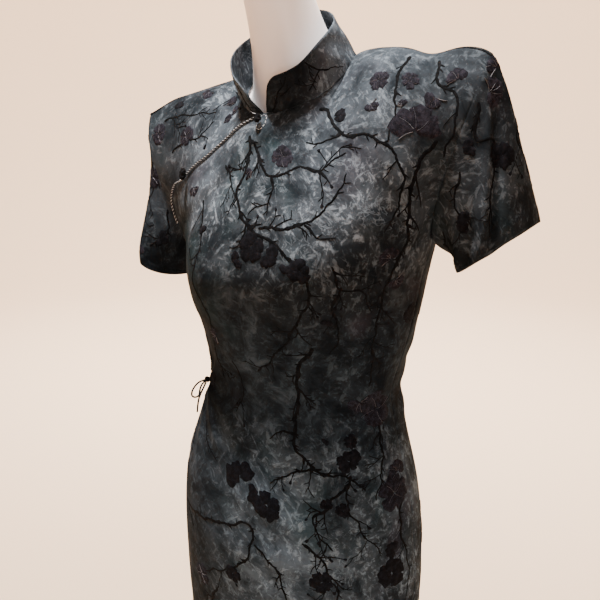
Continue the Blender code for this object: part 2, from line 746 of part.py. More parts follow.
# ---- trim ---------------------------------------------------------------------------
def tube(name, points, radius, material, sides_step=2):
    """A round cord along points."""
    data = bpy.data.curves.new(name, "CURVE")
    data.dimensions = "3D"
    data.bevel_depth = radius
    data.bevel_resolution = sides_step
    data.use_fill_caps = True
    spline = data.splines.new("POLY")
    spline.points.add(len(points) - 1)
    for slot, point in zip(spline.points, points):
        slot.co = (*point, 1)
    data.materials.append(bpy.data.materials[material])
    made = bpy.data.objects.new(name, data)
    bpy.context.scene.collection.objects.link(made)
    return made


def piping_point(across):
    """The middle of the piping, which lies on the main front just inside its edge."""
    step = 0.01
    low, high = max(-1.0, across - step), min(0.0, across + step)
    run = figure(high, lap_top(high), -1) - figure(low, lap_top(low), -1)
    normal = figure_normal(across, lap_top(across), -1)
    inside = normal.cross(run).normalized()
    if inside.z > 0:
        inside = -inside
    height = LAP_RAISE + 3 * SEAM_GAP + PIPING_RADIUS
    return figure(across, lap_top(across), -1) + normal * height + inside * PIPING_RADIUS


def make_piping():
    points = [piping_point(u) for u in FRONT_COLUMNS if -0.925 < u < -0.08]
    last = piping_point(-0.0)
    points.append(points[-1].lerp(last, 0.6))
    return tube("placket_piping", points, PIPING_RADIUS, "dark_trim", 1)


def knot(name, centre, size, normal, turn):
    """A knotted ball button: a squashed ball on a short loop of cord."""
    mesh = bmesh.new()
    bmesh.ops.create_icosphere(mesh, subdivisions=2, radius=1.0)
    for vert in mesh.verts:
        wave = 1 + 0.07 * cos(5 * vert.co.x) * cos(5 * vert.co.y)
        vert.co *= wave
    frame = normal.to_track_quat("Z", "Y").to_matrix().to_4x4()
    place = Matrix.Translation(centre) @ frame @ Matrix.Rotation(turn, 4, "Z")
    mesh.transform(place @ Matrix.Diagonal((size[0], size[1], size[2], 1)))
    return finish(name, mesh, "dark_trim")


def on_front(across, up, height):
    return figure(across, up, -1) + figure_normal(across, up, -1) * height


def make_buttons():
    neck = (0.002, YOKE - 0.013)
    lap = (-0.565, 0.0855)
    clear = LAP_RAISE + 2 * PIPING_RADIUS + 2 * SEAM_GAP
    for name, (across, up), size, turn in (
        ("neck_button", neck, (0.0038, 0.0062, 0.0034), 0.5),
        ("lap_button", lap, (0.0050, 0.0074, 0.0038), 0.2),
    ):
        normal = figure_normal(across, up, -1)
        centre = on_front(across, up, clear + size[2] * 1.07)
        knot(name, centre, size, normal, turn)


TIE_AT = (-0.60, 1.037 - ARMPIT_Z)   # across and up of the waist tie's knot
# Routes of the tie's loop and tail, from the knot: metres out from the cloth, towards
# the front, and up.
TIE_LOOP = (
    (0.0045, 0.0005, -0.0008), (0.0080, 0.0012, -0.0020), (0.0120, 0.0018, -0.0048),
    (0.0158, 0.0020, -0.0088), (0.0186, 0.0018, -0.0132), (0.0200, 0.0012, -0.0172),
    (0.0196, 0.0004, -0.0206), (0.0174, -0.0004, -0.0226), (0.0146, -0.0010, -0.0222),
    (0.0122, -0.0014, -0.0196), (0.0104, -0.0016, -0.0160), (0.0088, -0.0018, -0.0120),
    (0.0070, -0.0020, -0.0080), (0.0048, -0.0020, -0.0048),
)
TIE_TAIL = (
    (0.0030, 0.0040, -0.0042), (0.0050, 0.0052, -0.0078), (0.0072, 0.0058, -0.0120),
    (0.0094, 0.0060, -0.0166), (0.0112, 0.0058, -0.0214), (0.0124, 0.0054, -0.0264),
    (0.0132, 0.0050, -0.0316), (0.0138, 0.0044, -0.0366), (0.0142, 0.0040, -0.0410),
)


def tie_frame():
    """The tie's knot centre and its outward, forward and upward directions."""
    across, up = TIE_AT
    normal = figure_normal(across, up, -1)
    outward = Vector((normal.x, normal.y, 0)).normalized()
    forward = Vector((-outward.y, outward.x, 0))
    if forward.y > 0:
        forward = -forward
    centre = figure(across, up, -1) + outward * 0.0060
    return centre, outward, forward, Vector((0, 0, 1))


def route(places):
    centre, outward, forward, upward = tie_frame()
    return [centre + outward * a + forward * b + upward * c for a, b, c in places]


def through(points, count):
    """count points on a smooth curve through the given ones."""
    last = len(points) - 1
    made = []
    for n in range(count):
        place = n / (count - 1) * last
        i = min(last - 1, int(place))
        t = place - i
        a, b = points[i], points[i + 1]
        before, after = points[max(0, i - 1)], points[min(last, i + 2)]
        made.append(bezier(a, a + (b - before) / 6, b - (after - a) / 6, b, t))
    return made


def make_tie():
    centre, outward, _, _ = tie_frame()
    knot("tie_knot", centre, (0.0034, 0.0034, 0.0036), outward, 0.3)
    tube("tie_loop", through(route(TIE_LOOP), 22), CORD_RADIUS, "dark_trim")
    tube("tie_tail", through(route(TIE_TAIL), 14), CORD_RADIUS, "dark_trim")


# ---- dress form and stand -----------------------------------------------------------
FORM_COLUMNS = (-1.0, -0.88, -0.76, -0.65, -0.55, -0.45, -NECK_ACROSS, -0.24, -0.12, 0.0,
                0.12, 0.24, NECK_ACROSS, 0.45, 0.55, 0.65, 0.76, 0.88, 1.0)
FORM_ROWS = (0.800, 0.840, 0.880, 0.920, 0.960, 1.000, 1.030, 1.060, 1.090, 1.120, 1.150,
             1.175)
FORM_YOKE = (0.0, 0.032, 0.064, 0.096, 0.124, 0.150, 0.172, YOKE)
NECK_COLUMNS = 15


def form_point(across, up, side):
    """The dress form: the figure, moved in."""
    normal = figure_normal(across, up, side)
    if up <= 0:
        return figure(across, up, side) - normal * FORM_CLEARANCE
    if up > YOKE - NEAR and abs(across) > NECK_ACROSS - NEAR:
        normal = (normal + figure_normal(across, up, -side)).normalized()
    point = figure(across, up, side) - normal * FORM_CLEARANCE
    hand = 1 if across > 0 else -1
    pull = smooth(abs(across), 0.75, 1.0) * smooth(up, 0.0, 0.05)
    neck = smooth(up, 0.09, 0.16) * (1 - smooth(abs(across), 0.50, 0.85))
    inward = tilted(NECK_BASE) - point
    inward = inward.normalized() * (0.005 * neck)
    return point + inward - Vector((hand * 0.006 * pull, 0, 0.002 * pull))


def form_ring(up):
    """A closed ring round the form, front from right to left and then the back."""
    front = [form_point(u, up, -1) for u in FORM_COLUMNS]
    back = [form_point(u, up, 1) for u in reversed(FORM_COLUMNS[1:-1])]
    return front + back


def bridge(mesh, low, high):
    count = len(low)
    for i in range(count):
        k = (i + 1) % count
        mesh.faces.new((low[i], low[k], high[k], high[i]))


def cap_fan(mesh, ring, centre):
    middle = mesh.verts.new(centre)
    for i, vert in enumerate(ring):
        mesh.faces.new((vert, ring[(i + 1) % len(ring)], middle))


def average(points):
    return sum(points, Vector()) / len(points)


def make_form():
    mesh = bmesh.new()
    rows = [[mesh.verts.new(p) for p in form_ring(z - ARMPIT_Z)] for z in FORM_ROWS]
    bottom = average([v.co for v in rows[0]])
    lower = []
    for share, drop in ((0.90, 0.012), (0.70, 0.020), (0.30, 0.022)):
        ring = [bottom.lerp(v.co, share) - Vector((0, 0, drop)) for v in rows[0]]
        lower.append([mesh.verts.new(p) for p in ring])
    bridge(mesh, lower[0], rows[0])
    bridge(mesh, lower[1], lower[0])
    bridge(mesh, lower[2], lower[1])
    cap_fan(mesh, lower[2][::-1], bottom - Vector((0, 0, 0.022)))
    for low, high in zip(rows, rows[1:]):
        bridge(mesh, low, high)
    width = len(FORM_COLUMNS)
    grid = {}
    for side in (-1, 1):
        grid[side] = [[mesh.verts.new(form_point(u, up, side)) for u in FORM_COLUMNS]
                      for up in FORM_YOKE]
        for i in range(len(FORM_YOKE) - 1):
            for j in range(width - 1):
                a, b = grid[side][i][j], grid[side][i][j + 1]
                c, d = grid[side][i + 1][j + 1], grid[side][i + 1][j]
                mesh.faces.new((a, b, c, d) if side < 0 else (d, c, b, a))
    first = [v for v in grid[-1][0]] + [v for v in reversed(grid[1][0][1:-1])]
    bridge(mesh, rows[-1], first)
    for j in (0, width - 1):
        ring = [row[j] for row in grid[-1]] + [row[j] for row in reversed(grid[1])]
        middle = average([v.co for v in ring])
        hand = -1 if j == 0 else 1
        cap_fan(mesh, ring, middle + Vector((hand * 0.006, 0, 0.004)))
    add_neck(mesh)
    bmesh.ops.remove_doubles(mesh, verts=mesh.verts, dist=3e-4)
    bmesh.ops.recalc_face_normals(mesh, faces=mesh.faces)
    return finish("form_torso", mesh, "form_white")


def neck_line(share):
    """(a point a share of the way up the form's neck, the neck's direction)."""
    base = tilted(NECK_BASE)
    turn = Matrix.Rotation(-SHOULDER_TILT, 3, "Y")
    way = turn @ Vector((0, -sin(NECK_LEAN), cos(NECK_LEAN)))
    return base + way * (NECK_TOP * share), way


def add_neck(mesh):
    """The form's neck, from a ring inside the neckline up to a flat top."""
    columns = [u for u in FORM_COLUMNS if abs(u) < NECK_ACROSS + NEAR]
    front = [form_point(u, YOKE, -1) for u in columns]
    back = [form_point(u, YOKE, 1) for u in reversed(columns)]
    ring = front + back[1:-1]
    rings = [ring]
    _, way = neck_line(0)
    for share in (0.16, 0.34, 0.55, 0.78, 0.97, 1.0):
        centre, way = neck_line(share)
        radius = NECK_RADIUS_LOW + (NECK_RADIUS_TOP - NECK_RADIUS_LOW) * smooth(share, 0.05, 0.55)
        radius -= 0.004 if share > 0.99 else 0.0
        made = []
        for point in ring:
            away = point - neck_line(0)[0]
            away = (away - way * away.dot(way)).normalized()
            made.append(centre + away * radius)
        rings.append(made)
    verts = [[mesh.verts.new(p) for p in one] for one in rings]
    for low, high in zip(verts, verts[1:]):
        bridge(mesh, low, high)
    cap_fan(mesh, verts[-1], average([v.co for v in verts[-1]]))


def disc(name, low, way, radii_heights, material, sides=40):
    """A turned solid along way from low: a list of (radius, height)."""
    mesh = bmesh.new()
    frame = way.to_track_quat("Z", "Y").to_matrix()
    rings = []
    for radius, height in radii_heights:
        ring = []
        for i in range(sides):
            angle = 2 * pi * i / sides
            ring.append(mesh.verts.new(
                low + frame @ Vector((radius * cos(angle), radius * sin(angle), height))))
        rings.append(ring)
    for a, b in zip(rings, rings[1:]):
        bridge(mesh, a, b)
    mesh.faces.new(rings[0][::-1])
    mesh.faces.new(rings[-1])
    return finish(name, mesh, material)


def make_stand():
    top, way = neck_line(1.0)
    low = top + way * SEAM_GAP
    r = NECK_RADIUS_TOP - 0.0035
    disc("neck_cap", low, way, ((r, 0), (r, 0.004), (r - 0.004, 0.009), (r * 0.4, CAP_HEIGHT)),
         "stand_metal", 32)
    up = Vector((0, 0, 1))
    edge = 0.004
    disc("stand_base", Vector((0, 0, 0)), up,
         ((BASE_RADIUS, 0), (BASE_RADIUS, BASE_HEIGHT - edge), (BASE_RADIUS - edge, BASE_HEIGHT),
          (0.040, BASE_HEIGHT + 0.003), (0.026, BASE_HEIGHT + 0.010)), "stand_metal", 56)
    foot = BASE_HEIGHT + 0.010 + SEAM_GAP
    bottom = FORM_BOTTOM_Z - 0.022 - SEAM_GAP
    disc("stand_pole", Vector((0, 0, foot)), up, ((POLE_RADIUS, 0), (POLE_RADIUS, bottom - foot)),
         "stand_metal", 20)


def make_materials():
    for name, (colour, roughness, metallic) in MATERIALS.items():
        made = bpy.data.materials.new(name)
        made.use_nodes = True
        shader = made.node_tree.nodes["Principled BSDF"]
        shader.inputs["Base Color"].default_value = colour
        shader.inputs["Roughness"].default_value = roughness
        shader.inputs["Metallic"].default_value = metallic
        made.diffuse_color = colour


def main():
    for old in list(bpy.data.objects):
        bpy.data.objects.remove(old)
    make_materials()
    make_front()
    make_underlap()
    make_back()
    for name in SLEEVES:
        make_sleeve(name)
    make_collar()
    make_piping()
    make_buttons()
    make_tie()
    make_form()
    make_stand()
    for made in bpy.data.objects:
        made.location.x = -CENTRE_X


main()
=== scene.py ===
"""The looks of the cheongsam dress and its dress form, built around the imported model.

All is in metres in the row frame, save in the tables that name a unit: the dress's front
faces -Y and the wearer's left is +X. A panel is laid out in flat coordinates: `across` runs
from -1 to 1 between its side seams, and `up` is a length along the cloth, 0 at the armpits.
"""
from math import cos, pi, radians, sin, sqrt, tan

import bmesh
import bpy
import numpy as np
from mathutils import Matrix, Vector


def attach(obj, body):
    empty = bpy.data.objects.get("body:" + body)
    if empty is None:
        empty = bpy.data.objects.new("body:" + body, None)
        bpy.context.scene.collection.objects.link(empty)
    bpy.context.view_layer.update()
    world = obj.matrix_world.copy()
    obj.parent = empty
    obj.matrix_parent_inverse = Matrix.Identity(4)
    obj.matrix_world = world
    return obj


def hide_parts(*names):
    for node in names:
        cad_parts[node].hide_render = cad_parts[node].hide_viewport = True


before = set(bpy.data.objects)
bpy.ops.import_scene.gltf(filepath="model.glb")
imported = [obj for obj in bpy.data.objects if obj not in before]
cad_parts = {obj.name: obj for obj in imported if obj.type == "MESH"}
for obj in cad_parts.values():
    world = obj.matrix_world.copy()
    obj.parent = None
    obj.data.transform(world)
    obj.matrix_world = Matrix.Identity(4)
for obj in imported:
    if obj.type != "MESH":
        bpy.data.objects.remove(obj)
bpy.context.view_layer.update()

# ---- sizes
CLOTH, SEAM_GAP = 0.0016, 0.0003       # the wall of every cloth piece, and between two pieces
CENTRE_X = 0.0146                      # the figure's own x where the row frame's is 0
HEM_Z, SLIT_TOP_Z, SLIT_WIDTH = 0.270, 0.540, 0.012
ARMPIT_Z, YOKE, PANEL_HALF = 1.193, 0.190, 0.212    # YOKE is the cloth's length above ARMPIT_Z
YOKE_FROM, SKIRT_UP = -0.050, 0.95 - ARMPIT_Z      # where rows grow denser
SHOULDER_TILT, TILT_PIVOT_Z = radians(7.5), 1.375
TILT_FROM_Z, TILT_TO_Z = 1.00, 1.18
LEFT_ARMPIT_RISE = 0.019
HIP_SHIFT, CHEST_SHIFT = -0.008, 0.006
TIP = (0.211, -0.016, 1.380)           # the left shoulder's end before it is tilted
# How far each shoulder seam arches up, and how far its end rounds down and out.
SHOULDER_ARCH = {1: 0.0075, -1: 0.0015}
SHOULDER_DIP = {1: 0.0065, -1: 0.0}
TIP_DROOP = {1: 0.000, -1: 0.007}
EASED = 0.10                           # across over which the corner at the neck is eased
NECK_BASE = (0.0, -0.007, 1.390)
NECK_FORWARD = radians(35)
NECK_HALF_WIDTH = 0.064
NECK_DEPTHS = (0.066, 0.060)           # in front and behind
NECK_ACROSS, SEAM_ON_NECK = 0.36, radians(108)      # where the shoulder seam meets the neck
NECK_FRONT = radians(-7)
COLLAR_FRONT_HEIGHT, COLLAR_BACK_HEIGHT = 0.034, 0.038
COLLAR_SIDE_RISE = 0.005               # how much higher it stands below the ears
COLLAR_TOP_WIDTH, COLLAR_TOP_DEPTHS = 0.058, (0.063, 0.057)
COLLAR_CORNER, COLLAR_EDGE = 0.012, 0.010
COLLAR_OPENS_LEFT, COLLAR_OPENS_RIGHT = radians(15), radians(-20)
OVERLAP, LAP_RAISE = 0.022, CLOTH + 0.0011
PIPING_RADIUS = CORD_RADIUS = 0.0011
SLEEVE_HALF_DEPTH = 0.058
# How far each sleeve bells out at its top, and how it leaves the armpit.
SLEEVE_SPREAD = {"sleeve_left": (0.06, 0.42), "sleeve_right": (-0.16, 0.62)}

SECTIONS = (
    # z, half_width, front, back
    (0.270, 0.168, 0.100, 0.098), (0.450, 0.163, 0.100, 0.098),
    (0.607, 0.161, 0.101, 0.100), (0.757, 0.1675, 0.106, 0.113),
    (0.857, 0.165, 0.108, 0.123), (0.927, 0.155, 0.104, 0.116),
    (1.007, 0.130, 0.094, 0.105), (1.052, 0.119, 0.086, 0.107),
    (1.110, 0.131, 0.098, 0.101), (1.150, 0.140, 0.107, 0.102),
    (1.193, 0.150, 0.112, 0.104), (1.240, 0.156, 0.108, 0.106),
)
BUST_X, BUST_Z, BUST_RADIUS, BUST_DEPTH = 0.074, 1.186, 0.052, 0.013
LAP_EDGE = (
    # across, up
    (-1.000, -0.0160), (-0.985, 0.0000), (-0.970, 0.0140), (-0.940, 0.0460),
    (-0.910, 0.0670), (-0.870, 0.0785), (-0.810, 0.0845), (-0.750, 0.0868),
    (-0.690, 0.0850), (-0.630, 0.0846), (-0.570, 0.0870), (-0.500, 0.0920),
    (-0.395, 0.1010), (-0.270, 0.1210), (-0.185, 0.1400), (-0.090, 0.1670),
    (0.000, YOKE),
)
SLEEVES = {
    # name: (side, degrees outward, degrees forward, length, half width of the hem,
    #        degrees that the hem slopes down towards the body, and towards the back)
    "sleeve_left": (1, 14, -13, 0.181, 0.044, 26, 13),
    "sleeve_right": (-1, 0, -4, 0.186, 0.023, 36, 10),
}
TIE_AT = (-0.60, 1.037 - ARMPIT_Z)
TIE_LOOP = (
    # outward, forward and up from the knot, in 0.1 mm
    (28, 3, -5), (86, 12, -18), (128, 18, -44), (163, 20, -84), (188, 18, -130), (198, 13, -180),
    (189, 8, -208), (165, 2, -226), (135, -3, -226), (111, -8, -208), (102, -12, -180), (95, -15, -142),
    (83, -18, -106), (67, -20, -74), (28, -15, -28),
)
TIE_TAIL = (
    (18, 25, -26), (50, 52, -78), (72, 58, -120), (94, 60, -166), (112, 58, -214), (124, 54, -264),
    (132, 50, -316), (138, 44, -366), (142, 40, -410),
)

# ---- folds
FRONT_CREASES = (
    # from x, z and to x, z on the flat panel in mm, half width and height in 0.1 mm
    (-123, 1042, -72, 1086, 85, 46), (-121, 1039, -58, 1052, 75, 44), (-121, 1035, -60, 1018, 75, 48),
    (-123, 1031, -54, 975, 85, 44), (-129, 1044, -115, 1102, 85, 36), (-129, 1030, -106, 965, 85, 36),
    (-120, 1037, -82, 1034, 45, -16), (-122, 1030, -90, 996, 50, -16), (-122, 1046, -95, 1078, 50, -14),
    (-62, 1052, 20, 1066, 110, 14), (-60, 1012, 30, 988, 120, 15), (-54, 972, 60, 930, 130, 13),
    (196, 1070, 110, 1050, 110, 28), (196, 1040, 120, 1010, 110, 26), (192, 1012, 136, 968, 100, 18),
    (196, 1098, 130, 1092, 100, 16), (186, 1205, 130, 1290, 120, 36), (180, 1200, 110, 1230, 120, 28),
    (196, 1186, 128, 1160, 100, 20), (170, 1250, 150, 1330, 90, 16), (-170, 1190, -110, 1150, 130, 26),
    (-176, 1160, -126, 1120, 100, 16), (-40, 940, 90, 900, 150, 22), (30, 1316, 60, 1262, 120, 10),
    (70, 868, -60, 850, 160, 14), (120, 840, 20, 806, 160, 16), (-140, 700, -120, 420, 240, 30),
    (60, 620, 80, 330, 260, -26), (150, 690, 160, 380, 240, 30), (-30, 560, -50, 300, 260, 24),
)
BACK_CREASES = (
    (-190, 1060, -90, 1075, 120, 32), (-190, 1035, -80, 1020, 120, 32),
    (-186, 1010, -110, 980, 100, 20), (-186, 1086, -120, 1104, 100, 18), (190, 1062, 80, 1070, 120, 30),
    (190, 1032, 90, 1012, 120, 28), (186, 1092, 124, 1108, 100, 18), (-60, 1100, 70, 1090, 150, 22),
    (-80, 1046, 50, 1052, 130, 18), (30, 1012, 110, 996, 120, 14), (-180, 1210, -120, 1290, 140, 32),
    (180, 1210, 120, 1290, 140, 32), (-150, 1190, -80, 1220, 120, 18), (150, 1190, 90, 1224, 120, 18),
    (-100, 800, 60, 770, 180, 20), (120, 700, 140, 400, 240, 30), (-130, 680, -140, 380, 240, 30),
    (10, 640, 0, 340, 260, -26),
)
SLEEVE_FOLDS = {
    # place round the arm (0 armpit, 250 front, 500 outside), place down it and the half
    # widths of both in thousandths, height in 0.1 mm
    "sleeve_left": (
        (318, 660, 26, 550, 56), (362, 660, 18, 550, -56), (296, 700, 8, 120, -18),
        (274, 720, 9, 100, 16), (252, 760, 8, 90, -14), (520, 800, 30, 300, 20),
        (200, 820, 36, 300, -40), (280, 860, 22, 200, 22), (120, 850, 32, 300, 36),
        (720, 600, 45, 400, 42), (830, 750, 35, 300, -30),
    ),
    "sleeve_right": (
        (320, 800, 40, 300, 22), (200, 800, 45, 300, -35), (420, 700, 25, 300, 14),
        (700, 600, 45, 400, 26), (820, 750, 35, 300, -20),
    ),
}


# ---- the dressed figure
def smooth(value, low=0.0, high=1.0):
    """0 below low, 1 above high, and a soft step between."""
    t = min(1.0, max(0.0, (value - low) / (high - low)))
    return t * t * (3 - 2 * t)


def hill(squared):
    """1 at a distance of 0 and soon 0 beyond 1, from the distance squared."""
    return 2.718 ** (-squared)


def along(table, value, column):
    """A table's column at value, on a smooth curve through its rows."""
    last, i = len(table) - 1, 0
    while i < last - 1 and value > table[i + 1][0]:
        i += 1

    def slope(k):
        a, b = table[max(0, k - 1)], table[min(last, k + 1)]
        return (b[column] - a[column]) / (b[0] - a[0])

    a, b = table[i], table[i + 1]
    width = b[0] - a[0]
    t = min(1.0, max(0.0, (value - a[0]) / width))
    return (a[column] * (1 + 2 * t) * (1 - t) ** 2 + b[column] * t * t * (3 - 2 * t)
            + slope(i) * width * t * (1 - t) ** 2 - slope(i + 1) * width * t * t * (1 - t))


def bezier(a, b, c, d, t):
    return a * (1 - t) ** 3 + b * 3 * t * (1 - t) ** 2 + c * 3 * t * t * (1 - t) + d * t**3


TURN = Matrix.Rotation(-SHOULDER_TILT, 3, "Y")


def tilted(point):
    """A point of the shoulders, turned as the wearer's left one is raised."""
    pivot = Vector((0, 0, TILT_PIVOT_Z))
    return TURN @ (Vector(point) - pivot) + pivot


def section_point(across, z, side):
    """A point of the figure up to the armpits; side is -1 in front and 1 behind."""
    angle = across * pi / 2
    half_width = along(SECTIONS, z, 1)
    depth = along(SECTIONS, z, 2 if side < 0 else 3)
    x = half_width * sin(angle)
    y = side * depth * cos(angle)
    if side < 0:
        for centre in (-BUST_X, BUST_X):
            away = ((x - centre) ** 2 + (z - BUST_Z) ** 2) / BUST_RADIUS**2
            y -= BUST_DEPTH * hill(away) * cos(angle)
    shift = HIP_SHIFT * (1 - smooth(z, 0.86, 1.08)) + CHEST_SHIFT * smooth(z, 1.04, 1.13)
    rise = x * tan(SHOULDER_TILT) * smooth(z, TILT_FROM_Z, TILT_TO_Z)
    rise += LEFT_ARMPIT_RISE * smooth(x, 0.03, 0.15) * smooth(z, 1.06, ARMPIT_Z)
    return Vector((x + shift, y, z + rise))


NECK_CENTRE = tilted(NECK_BASE)
NECK_LEFT = TURN @ Vector((1, 0, 0))
NECK_OUT = TURN @ Vector((0, -cos(NECK_FORWARD), -sin(NECK_FORWARD)))
NECK_UP = TURN @ Vector((0, -sin(NECK_FORWARD), cos(NECK_FORWARD)))


def neck_point(angle):
    """A point of the neckline; angle is 0 in front and positive to the left."""
    return (NECK_CENTRE + NECK_LEFT * (NECK_HALF_WIDTH * sin(angle))
            + NECK_OUT * (NECK_DEPTHS[cos(angle) < 0] * cos(angle)))


def neck_angle(across, side):
    """The neckline's angle above a column."""
    share = min(1.0, abs(across) / NECK_ACROSS)
    hand = 1 if across >= 0 else -1
    if side < 0:
        return hand * share * SEAM_ON_NECK + (1 - share) * NECK_FRONT
    return hand * (pi - share * (pi - SEAM_ON_NECK))


def top_point(across, side):
    """The neckline or the shoulder seam above a column."""
    if abs(across) <= NECK_ACROSS:
        return neck_point(neck_angle(across, side))
    hand = 1 if across > 0 else -1
    share = (abs(across) - NECK_ACROSS) / (1 - NECK_ACROSS)
    inner = neck_point(hand * SEAM_ON_NECK)
    outer = tilted((hand * TIP[0], TIP[1], TIP[2]))
    rise = SHOULDER_ARCH[hand] * (1 - (2 * share - 1) ** 6)
    rise -= SHOULDER_DIP[hand] * hill(((share - 0.60) / 0.15) ** 2)
    droop = TIP_DROOP[hand] * smooth(share, 0.72, 1.0)
    return inner.lerp(outer, share) + Vector((hand * droop * 0.2, 0, rise - droop))


def eased_top(across, side):
    """The top with its corner at the neck cut, which the column heads for."""
    spread = EASED * smooth(abs(across), 0.06, 0.30) * (1 - smooth(abs(across), 0.55, 0.80))
    total = top_point(across, side) * 2
    for part in (-1, -0.5, 0.5, 1):
        total += top_point(across + part * spread, side)
    return total / 6


def yoke_handles(across, side):
    """How a column of the yoke leaves the armpits' height and how it reaches its top."""
    hand = 1 if across > 0 else -1
    far = abs(across)
    out = smooth(far, 0.58, 1.0)
    shoulder = smooth(far, 0.18, 0.50)
    front = side < 0
    rise = Vector((0, -0.006 * side, 0.058 if front else 0.075))
    round_arm = Vector((0.006 * hand, 0.034 * side, 0.034))
    to_neck = Vector((0, -0.030 * side, 0.036 if front else 0.046))
    to_shoulder = Vector((0, -0.060 * side, 0.014 if front else -0.006))
    to_tip = Vector((0.006 * hand, -0.034 * side, 0.050))
    leave = rise.lerp(round_arm, out)
    arrive = to_neck.lerp(to_shoulder, shoulder).lerp(to_tip, out)
    return leave, arrive


def figure(across, up, side):
    """The outside of the smooth dressed figure."""
    if up <= 0:
        return section_point(across, ARMPIT_Z + up, side)
    leave, arrive = yoke_handles(across, side)
    low = section_point(across, ARMPIT_Z, side)
    top = top_point(across, side)
    return bezier(low, low + leave, eased_top(across, side) - arrive, top, min(1.0, up / YOKE))


def figure_normal(across, up, side):
    step = 0.004
    left, right = max(-1.0, across - step), min(1.0, across + step)
    low, high = up - step * 0.2, min(YOKE, up + step * 0.2)
    wide = figure(right, up, side) - figure(left, up, side)
    tall = figure(across, high, side) - figure(across, low, side)
    return (wide.cross(tall) * -side).normalized()


# ---- the same figure as a fine grid, with its corners eased
SHIFT = np.array((CENTRE_X, 0.0, 0.0))
SKIN_COLUMNS, SKIN_ROWS = 241, 281
SKIN_LOW = HEM_Z - ARMPIT_Z


def step_of(value, low, high):
    """The same step as smooth's, for arrays."""
    t = np.clip((value - low) / (high - low), 0.0, 1.0)
    return t * t * (3 - 2 * t)


def eased(line, sigma, closed=False):
    """A line of points smoothed along itself; an open one keeps its ends."""
    if sigma < 0.4:
        return line
    reach = int(3 * sigma) + 1 if closed else min(int(3 * sigma) + 1, len(line) - 2)
    kernel = np.exp(-0.5 * (np.arange(-reach, reach + 1) / sigma) ** 2)
    kernel /= kernel.sum()

    def blur(points):
        before, after = points[-reach:], points[:reach]
        if not closed:
            before = 2 * points[0] - points[reach:0:-1]
            after = 2 * points[-1] - points[-2:-reach - 2:-1]
        long = np.concatenate([before, points, after])
        return np.stack([np.convolve(long[:, c], kernel, "valid") for c in range(3)], 1)

    once = blur(line)
    return 2 * once - blur(once)


def make_skin(side):
    """The figure's front (-1) or back (1), eased up its columns and along the yoke's rows."""
    columns = np.linspace(-1, 1, SKIN_COLUMNS)
    rows = np.linspace(SKIN_LOW, YOKE, SKIN_ROWS)
    grid = np.array([[figure(u, up, side) for u in columns] for up in rows])
    tall = np.array([eased(grid[:, j], 3.0) for j in range(SKIN_COLUMNS)]).transpose(1, 0, 2)
    inside = (1 - step_of(np.abs(columns), 0.72, 0.92))[None, :, None]
    inside = inside * (step_of(YOKE - rows, 0.0, 0.03))[:, None, None]
    grid = grid + (tall - grid) * inside
    for i, up in enumerate(rows):
        if up > 0:
            grid[i] = eased(grid[i], 13.0 * smooth(YOKE - up, 0.0, 0.055) * smooth(up, -0.01, 0.05))
    grid -= SHIFT
    for axis in (1, 0):      # one column and one row more at each end
        ends = [2 * grid.take([a], axis) - grid.take([b], axis) for a, b in ((0, 1), (-1, -2))]
        grid = np.concatenate([ends[0], grid, ends[1]], axis)
    return grid


SKINS = {-1: make_skin(-1), 1: make_skin(1)}


def cubic_weights(t):
    return ((-t + 2 * t * t - t**3) / 2, (2 - 5 * t * t + 3 * t**3) / 2,
            (t + 4 * t * t - 3 * t**3) / 2, (-t * t + t**3) / 2)


def skin(side, across, up):
    """Points of the eased figure at arrays of across and up."""
    grid = SKINS[side]
    fj = (np.clip(across, -1, 1) + 1) / 2 * (SKIN_COLUMNS - 1)
    fi = (np.clip(up, SKIN_LOW, YOKE) - SKIN_LOW) / (YOKE - SKIN_LOW) * (SKIN_ROWS - 1)
    j = np.minimum(fj.astype(int), SKIN_COLUMNS - 2)
    i = np.minimum(fi.astype(int), SKIN_ROWS - 2)
    total = 0.0
    for a, wa in enumerate(cubic_weights(fi - i)):
        for b, wb in enumerate(cubic_weights(fj - j)):
            total = total + grid[i + a, j + b] * (wa * wb)[..., None]
    return total


def unit(vectors):
    return vectors / np.maximum(np.linalg.norm(vectors, axis=-1, keepdims=True), 1e-12)


def skin_frame(side, across, up):
    """(normal, direction of rising across) of the eased figure."""
    wide = skin(side, across + 0.006, up) - skin(side, across - 0.006, up)
    tall = skin(side, across, up + 0.0015) - skin(side, across, up - 0.0015)
    return unit(np.cross(wide, tall) * -side), unit(wide)


def creases(across, z, table):
    """The height of a table's folds: ridges that start softly and fade along their way."""
    x, total = across * PANEL_HALF, np.zeros(across.shape)
    for *line, half_width, height in table:
        from_x, from_z, to_x, to_z = (v / 1000 for v in line)
        run_x, run_z = to_x - from_x, to_z - from_z
        t = ((x - from_x) * run_x + (z - from_z) * run_z) / (run_x**2 + run_z**2)
        t = np.clip(t, 0.0, 1.0)
        away = (x - from_x - t * run_x) ** 2 + (z - from_z - t * run_z) ** 2
        total += (height / 10000 * step_of(t, 0.0, 0.2) * (1 - 0.6 * t)
                  * np.exp(-away / (half_width / 10000) ** 2))
    return total


LAP_PLACES = np.linspace(-1, 0, 401)
LAP_TOPS = np.array([along(LAP_EDGE, u, 1) for u in LAP_PLACES])


def lap_top(across):
    """up at the top of the main front."""
    return np.where(across >= 0, YOKE, np.interp(across, LAP_PLACES, LAP_TOPS))


def lap_raise(across, up):
    """How far the main front stands out to pass over the underlap."""
    below = lap_top(np.maximum(-1.0, across - 0.05)) - OVERLAP - up
    share = 1 - step_of(below, 0.001, 0.016)
    return LAP_RAISE * share * (1 - step_of(across, 0.0, 0.16))


